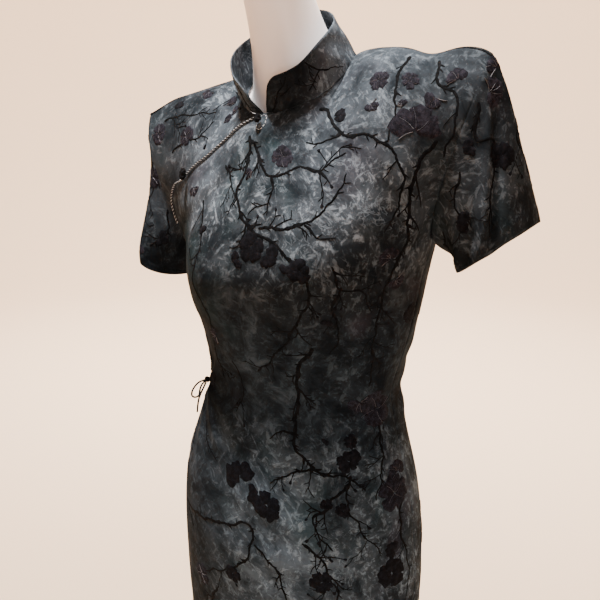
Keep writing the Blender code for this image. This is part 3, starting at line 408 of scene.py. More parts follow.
def slit(z):
    """Half of a side slit's width."""
    return SLIT_WIDTH / 2 * np.clip((SLIT_TOP_Z - z) / (SLIT_TOP_Z - HEM_Z), 0, 1)


# ---- patches: grids of points that carry a wall and the motifs
def slopes(points, wrap=False):
    """How a grid's points change from column to column and from row to row."""
    ring = np.concatenate([points[:, -1:], points, points[:, :1]], 1) if wrap else points
    across = np.gradient(ring, axis=1)
    return across[:, 1:-1] if wrap else across, np.gradient(points, axis=0)


class Patch:
    """A grid of the cloth's outside. flat is its grids of flat coordinates, levels the ways
    that are level on it, and rising 1 where its rows go up and -1 where they go down."""

    def __init__(self, points, normals, levels, flat, wrap=False, rising=1):
        self.points, self.normals, self.flat, self.wrap = points, normals, flat, wrap
        self.by_column, self.by_row = slopes(points, wrap)
        self.level = unit(levels - normals * (levels * normals).sum(-1, keepdims=True))
        above = np.cross(normals, self.level)
        self.above = above * (np.sign((above * self.by_row).sum(-1, keepdims=True)) * rising)

    def sample(self, grid, places):
        """Values of a grid at places (row, column), each an array."""
        rows, columns = grid.shape[:2]
        i = np.clip(places[..., 0], 0, rows - 1.001)
        j = places[..., 1] % columns if self.wrap else np.clip(places[..., 1], 0, columns - 1.001)
        i0, j0 = i.astype(int), np.minimum(j.astype(int), columns - 1)
        j1 = (j0 + 1) % columns if self.wrap else j0 + 1
        s, t = (i - i0)[..., None], (j - j0)[..., None]
        low = grid[i0, j0] * (1 - t) + grid[i0, j1] * t
        high = grid[i0 + 1, j0] * (1 - t) + grid[i0 + 1, j1] * t
        return low * (1 - s) + high * s

    def on(self, places, height):
        return self.sample(self.points, places) + unit(self.sample(self.normals, places)) * height

    def moved(self, place, x, y):
        """The places x metres level and y metres up the cloth from a place; x, y arrays."""
        place = np.asarray(place, float)
        target = (self.sample(self.points, place)
                  + np.asarray(x)[..., None] * self.sample(self.level, place)
                  + np.asarray(y)[..., None] * self.sample(self.above, place))
        at = np.zeros(target.shape[:-1] + (2,)) + place
        for _ in range(3):
            gap = target - self.sample(self.points, at)
            a, b = self.sample(self.by_row, at), self.sample(self.by_column, at)
            aa, ab, bb = (a * a).sum(-1), (a * b).sum(-1), (b * b).sum(-1)
            wa, wb = (gap * a).sum(-1), (gap * b).sum(-1)
            det = aa * bb - ab * ab + 1e-18
            at = at + np.stack([(wa * bb - wb * ab) / det, (wb * aa - wa * ab) / det], -1)
        return at

    def place(self, column, row):
        """The (row, column) index of flat coordinates."""
        columns, rows = self.flat
        j = float(np.interp(column, columns[0], np.arange(columns.shape[1])))
        near = min(int(j), rows.shape[1] - 2)
        up = rows[:, near] + (rows[:, near + 1] - rows[:, near]) * (j - near)
        return np.array([np.interp(row, up, np.arange(len(up))), j])

    def inside(self, place, margin=1.2):
        rows, columns = self.points.shape[:2]
        return margin <= place[0] <= rows - 1 - margin and (
            self.wrap or margin <= place[1] <= columns - 1 - margin)


def seam_dip(distance, depth=0.0006, reach=0.0028):
    return -depth * np.exp(-(distance / reach) ** 2)


def panel(side, columns, up, table, lapped=False):
    """The patch of a panel in front (-1) or behind (1); lapped where it passes over another."""
    across = np.tile(columns, (len(up), 1))
    normal, level = skin_frame(side, across, up)
    z = ARMPIT_Z + up
    fade = step_of(1 - np.abs(across), 0.0, 0.05) * step_of(YOKE - up, 0.0, 0.014)
    height = creases(across, z, table) * fade + (lap_raise(across, up) if lapped else 0.0)
    height += seam_dip((1 - np.abs(across)) * 0.19)
    height += seam_dip(YOKE - up) * (1 if not lapped else step_of(across, -0.02, 0.02))
    height += hem_step(up - SKIN_LOW)
    points = skin(side, across, up) + normal * height[..., None]
    apart = (SEAM_GAP / 2 + slit(z)) * step_of(np.abs(across), 0.94, 1.0) * (up < 0)
    apart = apart + SEAM_GAP / 2 * step_of(up, YOKE - 0.004, YOKE) * (np.abs(across) >= NECK_ACROSS)
    points[..., 1] += side * apart
    return Patch(points, normal, level, (across, up))


def hem_step(distance, proud=0.0004, dip=0.0003, seam=0.0235):
    """The turned-up hem lies a little proud of the cloth above it."""
    return proud * (1 - step_of(distance, 0.022, 0.024)) - dip * np.exp(
        -((distance - seam) / 0.0014) ** 2)


def row_heights(parts):
    """Rows as (from, to, count) runs joined to one list."""
    rows = [np.linspace(low, high, count, endpoint=False) for low, high, count in parts]
    return np.concatenate(rows + [[parts[-1][1]]])


def front_patch():
    columns = np.linspace(-1, 1, 155)
    low = row_heights(((SKIN_LOW, SKIRT_UP, 76), (SKIRT_UP, YOKE_FROM, 82)))[:-1]
    high = YOKE_FROM + np.linspace(0, 1, 112)[:, None] * (lap_top(columns)[None, :] - YOKE_FROM)
    up = np.concatenate([np.tile(low[:, None], len(columns)), high])
    return panel(-1, columns, up, FRONT_CREASES, True)


def underlap_patch():
    columns = np.linspace(-1, 0, 84)
    low = lap_top(columns) - OVERLAP
    low[-1] = YOKE - OVERLAP
    up = low[None, :] + np.linspace(0, 1, 66)[:, None] * (YOKE - low)[None, :]
    return panel(-1, columns, up, ())


def back_patch():
    columns = np.linspace(-1, 1, 121)
    rows = row_heights(((SKIN_LOW, SKIRT_UP, 70), (SKIRT_UP, YOKE, 146)))
    return panel(1, columns, np.tile(rows[:, None], len(columns)), BACK_CREASES)


def sleeve_axis(name):
    """The way the arm points."""
    side, outward, forward = SLEEVES[name][:3]
    a, b = radians(outward), radians(forward)
    return Vector((side * sin(a) * cos(b), -sin(b), -cos(a) * cos(b))).normalized()


def sleeve_start(name, up, side):
    """The way the sleeve leaves the armhole."""
    hand = SLEEVES[name][0]
    axis = sleeve_axis(name)
    centre = (figure(hand, 0, 1) + figure(hand, YOKE, 1)) / 2
    radial = figure(hand, up, side) - centre
    radial = (radial - axis * radial.dot(axis)).normalized()
    top = smooth(up / YOKE, 0.45, 1.0)
    low = 1 - smooth(up / YOKE, 0.0, 0.45)
    outward = Vector((hand, 0, 0))
    spread = SLEEVE_SPREAD[name][0] * (1 - low)
    away = 0.04 + 0.5 * spread + 0.02 * top + SLEEVE_SPREAD[name][1] * low
    return (axis * 0.8 + radial * (0.10 + spread) + outward * away).normalized()


def hem_point(name, share):
    """A point of the sleeve's hem."""
    hand, _, _, length, half_width, drop, rise = SLEEVES[name]
    axis = sleeve_axis(name)
    forward = Vector((0, -1, 0))
    forward = (forward - axis * forward.dot(axis)).normalized()
    outward = forward.cross(axis).normalized()
    if outward.x * hand < 0:
        outward = -outward
    centre = figure(hand, YOKE, 1) + axis * length - outward * (half_width - 0.008)
    sloped = (outward - axis * tan(radians(drop))).normalized()
    sweep = (forward - axis * tan(radians(rise))).normalized()
    angle = share * 2 * pi
    return (centre - sloped * (half_width * cos(angle))
            + sweep * (SLEEVE_HALF_DEPTH * sin(angle)))


def sleeve_patch(name, around=112, down_steps=62):
    """A sleeve as rings of points, from where it tucks into its armhole to its hem."""
    hand, length = SLEEVES[name][0], SLEEVES[name][3]
    axis = sleeve_axis(name)
    half = around // 2
    ups = [YOKE * (0.5 - 0.5 * cos(pi * k / half)) for k in range(half + 1)]
    loop = [(up, -1) for up in ups] + [(up, 1) for up in reversed(ups[1:-1])]
    starts = [figure(hand, up, side) for up, side in loop]
    lengths = np.array([(starts[(k + 1) % around] - p).length for k, p in enumerate(starts)])
    front, behind = lengths[:half].sum(), lengths[half:].sum()
    run = np.concatenate([[0], np.cumsum(lengths)[:-1]])
    # Shares run round from the armpit: half of them in front and half behind.
    shares = np.where(run < front, 0.5 * run / front, 0.5 + 0.5 * (run - front) / behind)
    downs = np.concatenate([[-0.02, -0.01], np.linspace(0, 0.96, down_steps - 5),
                            [0.973, 0.987, 1.0]])
    armhole = (figure(hand, 0, 1) + figure(hand, YOKE, 1)) / 2
    ends = [hem_point(name, share) for share in shares]
    leaves = [sleeve_start(name, up, side) for up, side in loop]
    rows = []
    for down in downs:
        row = []
        for start, leave, end in zip(starts, leaves, ends):
            inward = (armhole - start).normalized()
            start = start + leave * SEAM_GAP
            far = (end - start).length
            point = bezier(start, start + leave * 0.26 * far, end - axis * 0.30 * far, end,
                           max(0.0, down))
            row.append(point + (leave * 0.17 - inward * 0.13) * min(0.0, down))
        rows.append(eased(np.array(row), 5.0 * smooth(down, 0.0, 0.25), True))
    points = np.array(rows) - SHIFT
    share_grid, down_grid = np.meshgrid(shares, downs)
    by_column, by_row = slopes(points, True)
    normal = unit(np.cross(by_column, by_row))
    normal *= np.sign((normal * (points - points.mean(1, keepdims=True))).sum(-1, keepdims=True))
    height = np.zeros(share_grid.shape)
    for *spot, bulge in SLEEVE_FOLDS[name]:
        at, low, width, tall = (v / 1000 for v in spot)
        hang = 0.18 * (down_grid - low) * (1 if at < 0.5 else -1)
        away = np.abs(share_grid + hang - at)
        away = np.minimum(away, 1 - away)
        height += bulge / 10000 * np.exp(-(away / width) ** 2 - ((down_grid - low) / tall) ** 2)
    height *= step_of(down_grid, 0.05, 0.30)
    height += seam_dip(down_grid * length, 0.0004) + hem_step((1 - down_grid) * length)
    points = points + normal * height[..., None]
    return Patch(points, normal, by_column, (share_grid, down_grid), True, -1)


def collar_direction(angle, share):
    """From the neckline to a share of the collar's height above it."""
    height = COLLAR_FRONT_HEIGHT + (COLLAR_BACK_HEIGHT - COLLAR_FRONT_HEIGHT) * smooth(
        abs(angle), radians(35), radians(110))
    height += COLLAR_SIDE_RISE * hill(((abs(angle) - radians(72)) / radians(32)) ** 2)
    width = NECK_HALF_WIDTH + (COLLAR_TOP_WIDTH - NECK_HALF_WIDTH) * share
    opens = COLLAR_OPENS_LEFT if angle > NECK_FRONT else COLLAR_OPENS_RIGHT
    at = angle + opens * share * (1 - smooth(abs(angle - NECK_FRONT), 0.0, radians(85)))
    low, high = NECK_DEPTHS[cos(at) < 0], COLLAR_TOP_DEPTHS[cos(at) < 0]
    top = (NECK_CENTRE + NECK_UP * (height * share) + NECK_LEFT * (width * sin(at))
           + NECK_OUT * ((low + (high - low) * share) * cos(at)))
    return top - neck_point(angle)


def collar_height(run):
    """The share of the collar's height at a distance from its leaf's front edge."""
    if run >= COLLAR_CORNER:
        return 1.0
    drop = COLLAR_CORNER - sqrt(max(0.0, COLLAR_CORNER**2 - (COLLAR_CORNER - run) ** 2))
    return 1 - drop / COLLAR_FRONT_HEIGHT


def collar_patch(columns=230, rows=26):
    """Both leaves in one band, from the right one's front edge round the back."""
    right, left = neck_angle(-COLLAR_EDGE, -1), neck_angle(COLLAR_EDGE, -1)
    ease = np.linspace(0, 1, columns)
    ease = ease - 0.2 / pi * np.sin(2 * pi * ease)      # denser at the leaves' front edges
    angles = right - ease * (2 * pi + right - left)
    points, normals = [], []
    for share in [-0.12, -0.05] + list(np.linspace(0, 1, rows)):
        row, out = [], []
        tuck, risen = min(0.0, share), max(0.0, share)      # inside the neckline, and above it
        for raw in angles:
            angle = raw if raw > -pi else raw + 2 * pi
            run = min(abs(raw - right), abs(raw - (left - 2 * pi))) * COLLAR_TOP_DEPTHS[0]
            point = neck_point(angle)
            if left <= angle < radians(60):
                across = (angle - NECK_FRONT) / (SEAM_ON_NECK - NECK_FRONT) * NECK_ACROSS
                lift = float(lap_raise(np.array(across), np.array(YOKE)))
                point = point + figure_normal(across, YOKE, -1) * lift
            point = point + collar_direction(angle, risen * collar_height(run))
            away = point - NECK_CENTRE
            away = (away - NECK_UP * away.dot(NECK_UP)).normalized()
            wave = 0.0007 * sin(9 * angle + 5 * share) * sin(pi * risen)
            row.append(point + away * (wave + tuck * 0.020)
                       + NECK_UP * (SEAM_GAP * 2 * (1 - risen) + tuck * 0.022))
            out.append(away)
        points.append(row)
        normals.append(out)
    points, normals = np.array(points) - SHIFT, np.array(normals)
    flat = np.meshgrid(*(np.linspace(0, 1, n) for n in points.shape[1::-1]))
    return Patch(points, normals, np.gradient(points, axis=1), flat)


# ---- meshes
def linked(name, data, material, smooth_angle=50):
    """A mesh as a piece: smooth, save at edges sharper than the angle."""
    data.materials.append(material)
    data.shade_smooth()
    data.set_sharp_from_angle(angle=radians(smooth_angle))
    return in_scene(name, data)


def in_scene(name, data):
    made = bpy.data.objects.new(name, data)
    bpy.context.scene.collection.objects.link(made)
    return made


def meshed(name, points, faces, material, smooth_angle=50, merged=0.0):
    """A piece from points and faces; points closer than merged become one."""
    data = bpy.data.meshes.new(name)
    data.from_pydata(np.concatenate(points).tolist(), [], faces)
    mesh = bmesh.new()
    mesh.from_mesh(data)
    if merged:
        bmesh.ops.remove_doubles(mesh, verts=mesh.verts, dist=merged)
        bmesh.ops.dissolve_degenerate(mesh, dist=merged, edges=mesh.edges)
    bmesh.ops.recalc_face_normals(mesh, faces=mesh.faces)
    mesh.to_mesh(data)
    mesh.free()
    data.update()
    return linked(name, data, material, smooth_angle)


def put(made, node=None):
    """Hangs a piece on the root body and, if a node is named, hides the imported part that it replaces.
    """
    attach(made, "root")
    if node:
        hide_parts(node)
    return made


def wall(name, patch, material, thickness=CLOTH):
    """A closed wall under a patch, with rounded edges."""
    rows, columns = patch.points.shape[:2]
    count = rows * columns
    outer = patch.points.reshape(-1, 3)
    inner = (patch.points - patch.normals * thickness).reshape(-1, 3)
    index = np.arange(count).reshape(rows, columns)
    turn = np.arange(columns if patch.wrap else columns - 1)
    ahead = (turn + 1) % columns
    quads = np.stack([index[:-1, turn], index[:-1, ahead], index[1:, ahead], index[1:, turn]],
                     -1).reshape(-1, 4)
    points, faces = [outer, inner], [quads, quads[:, (0, 3, 2, 1)] + count]
    rims = [(index[0], index[1], 1), (index[-1], index[-2], -1)]
    if not patch.wrap:
        rims += [(index[:, 0], index[:, 1], -1), (index[:, -1], index[:, -2], 1)]
    total, ends = 2 * count, []
    for border, inside, way in rims:
        outward = unit(outer[border] - outer[inside])
        points.append((outer[border] + inner[border]) / 2 + outward * thickness * 0.42)
        middle = np.arange(len(border)) + total
        total += len(border)
        ends.append((middle[0], middle[-1]))
        n = np.arange(len(border) if patch.wrap else len(border) - 1)
        m = (n + 1) % len(border)
        for high, low in ((border, middle), (middle, border + count)):
            quad = np.stack([high[n], low[n], low[m], high[m]], -1)
            faces.append(quad if way > 0 else quad[:, ::-1])
    if not patch.wrap:
        for i, j in ((0, 0), (0, -1), (-1, 0), (-1, -1)):      # the corners, where two rims end
            at = index[i, j]
            faces.append(np.array([[at, ends[i % 2][j], at + count, ends[2 + j % 2][i]]]))
    return meshed(name, points, np.concatenate(faces).tolist(), material, merged=2e-6)


class Heap:
    """Points and faces gathered for one joined mesh."""

    def __init__(self):
        self.points, self.faces, self.total = [], [], 0

    def add(self, points, faces):
        self.points.append(np.asarray(points, float).reshape(-1, 3))
        self.faces += [[k + self.total for k in face] for face in faces]
        self.total += len(self.points[-1])

    def rings(self, rings):
        """A closed tube through rings of points."""
        count, sides = rings.shape[:2]
        faces = []
        for low in range(0, (count - 1) * sides, sides):
            for s in range(sides):
                t = (s + 1) % sides
                faces.append((low + s, low + t, low + sides + t, low + sides + s))
        last = (count - 1) * sides
        self.add(rings, faces + [range(sides)[::-1], range(last, last + sides)])

    def tube(self, line, radius, sides=6):
        """A closed tube along a line of points."""
        line = np.asarray(line, float)
        way = unit(np.gradient(line, axis=0))
        side = unit(np.cross(way, (0.3, 0.5, 0.81)))
        for k in range(1, len(line)):
            side[k] = side[k - 1] - way[k] * (side[k - 1] @ way[k])
            side[k] /= np.linalg.norm(side[k])
        angles = (2 * pi * np.arange(sides) / sides)[None, :, None]
        ring = side[:, None] * np.cos(angles) + np.cross(way, side)[:, None] * np.sin(angles)
        self.rings(line[:, None] + ring * radius)

    def piece(self, name, material, smooth_angle=60):
        return meshed(name, self.points, self.faces, material, smooth_angle)


# ---- materials
class Nodes:
    """Builds a material's nodes by short calls."""

    def __init__(self, name):
        self.material = bpy.data.materials.new(name)
        self.material.use_nodes = True
        self.tree = self.material.node_tree
        self.shader = self.tree.nodes["Principled BSDF"]
        self.place = self.add("TexCoord").outputs["Object"]

    def add(self, kind, inputs=(), **settings):
        node = self.tree.nodes.new("ShaderNode" + kind)
        for key, value in settings.items():
            setattr(node, key, value)
        for key, value in dict(inputs).items():
            self.set(node.inputs[key], value)
        return node

    def set(self, socket, value):
        if isinstance(value, bpy.types.NodeSocket):
            self.tree.links.new(value, socket)
        else:
            socket.default_value = value

    def noise(self, scale, detail=4.0, roughness=0.55, distortion=0.0, place=None):
        return self.add("TexNoise", {
            "Vector": place or self.place, "Scale": scale, "Detail": detail,
            "Roughness": roughness, "Distortion": distortion}).outputs["Fac"]

    def math(self, operation, a, b=0.0):
        return self.add("Math", {0: a, 1: b}, operation=operation).outputs[0]

    def times(self, a, b):
        return self.math("MULTIPLY", a, b)

    def plus(self, a, b):
        return self.math("ADD", a, b)

    def most(self, a, b):
        return self.math("MAXIMUM", a, b)

    def remap(self, value, low, high, to_low=0.0, to_high=1.0):
        return self.add("MapRange", {
            "Value": value, "From Min": low, "From Max": high, "To Min": to_low,
            "To Max": to_high}, interpolation_type="SMOOTHSTEP").outputs["Result"]

    def mix(self, share, a, b, blend="MIX"):
        a, b = ((*c, 1) if isinstance(c, tuple) else c for c in (a, b))
        return self.add("Mix", data_type="RGBA", blend_type=blend, inputs={
            0: share, 6: a, 7: b}).outputs[2]

    def scaled(self, by, place=None, turned=(0, 0, 0)):
        """A place turned and then scaled along each axis."""
        return self.add("Mapping", vector_type="TEXTURE", inputs={
            "Vector": place or self.place, "Scale": [1 / one for one in by],
            "Rotation": turned}).outputs["Vector"]

    def cooled_against_bounce(self, colour):
        """A colour made cooler below the bust, a painted tint against the warm light that the floor
        bounces onto the lower dress.
        """
        height = self.add("SeparateXYZ", {0: self.place}).outputs["Z"]
        return self.mix(self.remap(height, 1.20, 1.10), colour, (0.98, 1.16, 1.31), "MULTIPLY")

    def bump(self, height, strength, distance):
        return self.add("Bump", {
            "Height": height, "Strength": strength, "Distance": distance}).outputs["Normal"]

    def finish(self, **inputs):
        for key, value in inputs.items():
            self.set(self.shader.inputs[key.replace("_", " ")], value)
        return self.material


def cloth_material(name, shade=0.0, sides=0.0, collar=False):
    """Dark burnt-out silk: slate and charcoal smoke with soft feathered wisps, with painted light and
    shade on the print: painted light makes it paler from the bust up and below the waist, and
    painted shade darkens all of it by shade and the parts towards its side seams by sides, with a
    painted shadow on the chest's top and painted shade on the wearer's right flank; on the collar,
    sides sets a painted shadow on its front."""
    n = Nodes(name)
    drift = n.add("TexNoise", {"Vector": n.place, "Scale": 13.0, "Detail": 4.0})
    bent = n.add("VectorMath", {0: drift.outputs["Color"], 1: (0.026, 0.026, 0.026)},
                 operation="MULTIPLY")
    warped = n.add("VectorMath", {0: n.place, 1: bent.outputs[0]}).outputs[0]
    clouds = n.noise(6.0, 3, 0.5, 0.3)
    smoke = n.noise(30, 8, 0.68, 0.4, warped)
    feathers = None
    for scale, stretch, turned, low in (
            (150, (1.0, 1.0, 0.28), (0.30, 0.45, 0.0), 0.54),
            (165, (1.0, 1.0, 0.30), (-0.35, -0.75, 0.3), 0.55),
            (130, (1.0, 1.0, 0.32), (0.20, 1.30, 0.3), 0.56)):
        one = n.noise(scale, 5, 0.62, 0.35, n.scaled(stretch, warped, turned))
        one = n.remap(one, low, low + 0.12)
        feathers = n.most(feathers, one) if feathers else one
    ridge = n.math("ABSOLUTE", n.math("SUBTRACT", n.noise(46, 4, 0.60, 0.7, warped), 0.5))
    veins = n.times(n.remap(ridge, 0.0, 0.022, 1.0, 0.0), n.remap(n.noise(24, 3, 0.5), 0.50, 0.64))
    across, deep, height = n.add("SeparateXYZ", {0: n.place}).outputs
    # painted light: the print is made paler from the bust up, where the overhead lamp falls (less so
    # above 1.30 m, save on the collar), and paler below the waist
    painted_light_from_bust = n.remap(height, 1.160, 1.272)
    if not collar:
        painted_light_from_bust = n.times(painted_light_from_bust, n.remap(height, 1.42, 1.30, 0.62, 1.0))
    painted_light_share = n.most(painted_light_from_bust, n.times(n.remap(height, 1.045, 0.950), 0.68))
    # the painted light lifts the print's ground colour
    value = n.plus(n.plus(n.times(smoke, 0.66), n.times(clouds, 0.34)), n.times(painted_light_share, 0.14))
    ground = n.add("ValToRGB", {"Fac": value})
    stops = ground.color_ramp.elements
    for _ in range(2):
        stops.new(0.5)
    for stop, (at, shown) in zip(stops, (
            (0.42, (0.0036, 0.0046, 0.0058)), (0.53, (0.0102, 0.0128, 0.0158)),
            (0.62, (0.0290, 0.0345, 0.0410)), (0.74, (0.0620, 0.0725, 0.0860)))):
        stop.position, stop.color = at, (*shown, 1)
    # the wisps' pale colour is lightened by the painted light too
    pale = n.mix(painted_light_share, (0.034, 0.041, 0.048), (0.185, 0.210, 0.238))
    share = n.times(feathers, n.remap(smoke, 0.38, 0.60, 0.10, 0.80))
    colour = n.mix(share, ground.outputs["Color"], pale)
    colour = n.mix(n.times(veins, 0.34), colour, pale)
    tint = n.noise(10, 2, 0.5, 0.4, n.scaled((1.0, 1.3, 0.8)))
    colour = n.mix(n.remap(tint, 0.56, 0.72, 0.0, 0.22), colour, (0.020, 0.052, 0.058))
    colour = n.mix(n.remap(tint, 0.42, 0.30, 0.0, 0.22), colour, (0.036, 0.024, 0.034))
    side = n.math("ABSOLUTE", across)
    if collar:
        # painted shadow: darkens the collar's front near its middle
        painted_shade_mask = n.times(n.remap(side, 0.046, 0.024, 0.0, sides), n.remap(deep, -0.030, -0.058))
    else:
        # painted shade: edge darkens all the cloth by shade and the parts towards the side seams by
        # sides; where shade is 0 it eases off below the bust
        edge = n.remap(side, 0.085, 0.165, shade, max(shade, sides))
        if not shade:
            edge = n.times(edge, n.remap(height, 1.00, 1.14, 0.2, 1.0))
        # painted shadow: top darkens the chest's top near the middle, under the collar
        top = n.times(n.remap(height, 1.295, 1.375, 0.0, 0.38), n.remap(side, 0.120, 0.060))
        # painted shade on the wearer's right flank below the bust
        painted_flank_shade = n.times(n.remap(across, 0.00, -0.105), n.remap(height, 1.26, 1.13, 0.0, 0.74))
        painted_shade_mask = n.most(n.most(edge, top), painted_flank_shade)
    # the painted shade and shadow darken the colour towards near black
    colour = n.mix(painted_shade_mask, colour, (0.0022, 0.0029, 0.0036))
    relief = n.plus(n.times(smoke, 0.7), n.times(n.noise(520, 3, 0.7), 0.22))
    relief = n.plus(relief, n.times(feathers, 0.12))
    # the colour is cooled below the bust by painted tint against the floor's warm bounce light
    return n.finish(
        Base_Color=n.cooled_against_bounce(colour), Roughness=n.remap(smoke, 0.35, 0.70, 0.90, 0.78),
        Normal=n.bump(relief, 0.45, 0.0012), Specular_IOR_Level=0.03)


def flock_material(name, deep, worn, glitter):
    """Short dense flock, with a thin scatter of bright specks."""
    n = Nodes(name)
    nap = n.noise(900, 3, 0.7)
    colour = n.mix(n.remap(n.noise(230, 4, 0.7), 0.38, 0.66), deep, worn)
    specks = n.add("TexVoronoi", {"Vector": n.place, "Scale": 1300}).outputs["Distance"]
    colour = n.mix(n.remap(specks, 0.20, 0.05, 0.0, glitter), colour, (0.30, 0.25, 0.27))
    # the colour is cooled below the bust by painted tint against the floor's warm bounce light
    return n.finish(
        Base_Color=n.cooled_against_bounce(colour), Roughness=n.remap(specks, 0.05, 0.25, 0.45, 0.92),
        Normal=n.bump(nap, 0.5, 0.0006), Specular_IOR_Level=0.04)


def thread_material(name, colour, worn, roughness, gloss=0.12):
    """Twisted thread or braided cord."""
    n = Nodes(name)
    wave = n.add("TexWave", {
        "Vector": n.place, "Scale": 2600 / 6, "Distortion": 1.5, "Detail": 2.0},
        bands_direction="DIAGONAL").outputs["Fac"]
    fuzz = n.noise(1400, 3, 0.6)
    return n.finish(
        Base_Color=n.mix(n.times(wave, fuzz), colour, worn),
        Roughness=n.remap(fuzz, 0.3, 0.7, roughness - 0.1, roughness + 0.12),
        Normal=n.bump(wave, 0.5, 0.0004), Specular_IOR_Level=gloss)


def form_material():
    """White stretched jersey over a hard form."""
    n = Nodes("form_jersey")
    fine = n.add("TexWave", {"Vector": n.place, "Scale": 520.0, "Distortion": 0.4},
                 bands_direction="Z").outputs["Fac"]
    grain = n.noise(1300, 2, 0.5)
    return n.finish(
        Base_Color=n.mix(n.noise(9, 3, 0.5), (0.83, 0.765, 0.755), (0.88, 0.82, 0.81)),
        Roughness=n.remap(grain, 0.3, 0.7, 0.36, 0.48),
        Normal=n.bump(n.plus(n.times(fine, 0.4), grain), 0.10, 0.0005),
        Sheen_Weight=0.15, Sheen_Roughness=0.4, Specular_IOR_Level=0.5)


def metal_material():
    """Brushed steel with faint smudges."""
    n = Nodes("brushed_metal")
    grain = n.noise(60, 5, 0.7, 0.0, n.scaled((14.0, 14.0, 1.0)))
    smudge = n.noise(14, 4, 0.6)
    return n.finish(
        Base_Color=n.mix(smudge, (0.50, 0.50, 0.51), (0.62, 0.62, 0.62)), Metallic=1.0,
        Roughness=n.plus(n.remap(grain, 0.3, 0.7, 0.20, 0.34), n.times(smudge, 0.10)),
        Normal=n.bump(grain, 0.15, 0.0003))


def floor_material():
    n = Nodes("pale_floor")
    return n.finish(Base_Color=n.mix(n.noise(0.6, 3, 0.5), (0.88, 0.66, 0.47), (0.91, 0.69, 0.49)),
                    Roughness=0.9, Specular_IOR_Level=0.2)


# copies of one cloth with painted light and shade: the sleeves' copy is darkened all over by painted
# shade, and the collar's has a painted shadow on its front
CLOTH_PAINTED_LIGHT_LOOK = cloth_material("misty_cloth_painted_light", 0.0, 0.55)
SLEEVE_PAINTED_SHADE_LOOK = cloth_material("misty_sleeve_cloth_painted_shade", 0.50, 0.60)
COLLAR_PAINTED_SHADOW_LOOK = cloth_material("misty_collar_cloth_painted_shadow", 0.0, 0.88, True)
BRANCH_LOOK = flock_material("branch_flock", (0.0016, 0.0016, 0.0018), (0.0050, 0.0050, 0.0056), 0.01)
PLUM_LOOK = flock_material("plum_flock", (0.0046, 0.0042, 0.0058), (0.0160, 0.0142, 0.0194), 0.25)
NIGHT_LOOK = flock_material("night_flock", (0.0021, 0.0021, 0.0027), (0.0068, 0.0066, 0.0086), 0.05)
FIBRE_LOOK = thread_material("fine_fibre", (0.105, 0.098, 0.104), (0.200, 0.188, 0.196), 0.7)
PALE_THREAD = thread_material("pale_thread", (0.34, 0.34, 0.345), (0.80, 0.80, 0.81), 0.45)
DARK_THREAD = thread_material("dark_thread", (0.010, 0.009, 0.010), (0.035, 0.032, 0.034), 0.45)
CORD_LOOK = thread_material("black_cord", (0.003, 0.003, 0.003), (0.012, 0.011, 0.012), 0.75, 0.02)
FORM_LOOK = form_material()
METAL_LOOK = metal_material()


# ---- camera
def make_camera():
    data = bpy.data.cameras.new("camera")
    data.sensor_width, data.lens = 36.0, 41.82
    data.clip_start, data.clip_end = 0.05, 60.0
    made = in_scene("camera", data)
    place, az, down = (0.4124, -0.642, 1.388), radians(33.85), radians(17.78)
    right = Vector((cos(az), sin(az), 0))
    ahead = Vector((-sin(az) * cos(down), cos(az) * cos(down), -sin(down)))
    turn = Matrix((right, right.cross(ahead), -ahead)).transposed().to_4x4()
    made.matrix_world = Matrix.Translation(place) @ turn
    bpy.context.scene.camera = made


make_camera()


# ---- the waist tie: two free cords and their knot
def tie_frame():
    """The tie's place on the side seam, with the ways out of it and forward."""
    across, up = TIE_AT
    normal = figure_normal(across, up, -1)
    outward = Vector((normal.x, normal.y, 0)).normalized()
    centre = figure(across, up, -1) + outward * 0.0060
    return centre - Vector(SHIFT), outward, Vector((-outward.y, outward.x, 0))


def route(places):
    """A cord's points from its table."""
    centre, outward, forward = tie_frame()
    return [centre + outward * (a / 10000) + forward * (b / 10000) + Vector((0, 0, c / 10000))
            for a, b, c in places]


def through(points, count):
    """count points on a smooth curve through the given ones."""
    last = len(points) - 1
    made = []
    for n in range(count):
        place = n / (count - 1) * last
        i = min(last - 1, int(place))
        t = place - i
        a, b = points[i], points[i + 1]
        before, after = points[max(0, i - 1)], points[min(last, i + 2)]
        made.append(bezier(a, a + (b - before) / 6, b - (after - a) / 6, b, t))
    return made


def woven_ball(name, centre, size, normal, turn, node, strand=0.30, segments=240, core=0.74):
    """A ball button: one cord that winds over and under itself round a sphere."""
    heap = Heap()
    place = normal.to_track_quat("Z", "Y").to_matrix() @ Matrix.Rotation(turn, 3, "Z")

    def set_out(point):
        return place @ Vector([a * b for a, b in zip(point, size)])

    line = []
    for k in range(segments):
        t = k / segments * 6 * pi
        lat = 0.98 * sin(5 * t / 3)
        reach = (1 - strand) * (1 + 0.13 * cos(10 * t / 3 + 0.6))
        point = Vector((cos(lat) * cos(t), cos(lat) * sin(t), sin(lat))) * reach
        line.append(centre + set_out(point))
    heap.tube(line, min(size) * strand, 8)
    ball = bmesh.new()
    bmesh.ops.create_icosphere(ball, subdivisions=3, radius=1.0)
    heap.add([centre + set_out(v.co) * core for v in ball.verts],
             [[v.index for v in f.verts] for f in ball.faces])
    ball.free()
    put(heap.piece(name, CORD_LOOK), node)


def make_tie():
    centre, outward, _ = tie_frame()
    woven_ball("waist_knot", centre, (0.0036, 0.0036, 0.0038), outward, 0.3, "tie_knot")
    for name, places, node, end in (("waist_loop", TIE_LOOP, "tie_loop", "object"),
                                    ("waist_tail", TIE_TAIL, "tie_tail", "bare")):
        heap, line = Heap(), through(route(places), 70)
        heap.tube(line, CORD_RADIUS, 12)
        made = put(heap.piece(name, CORD_LOOK), node)


make_tie()


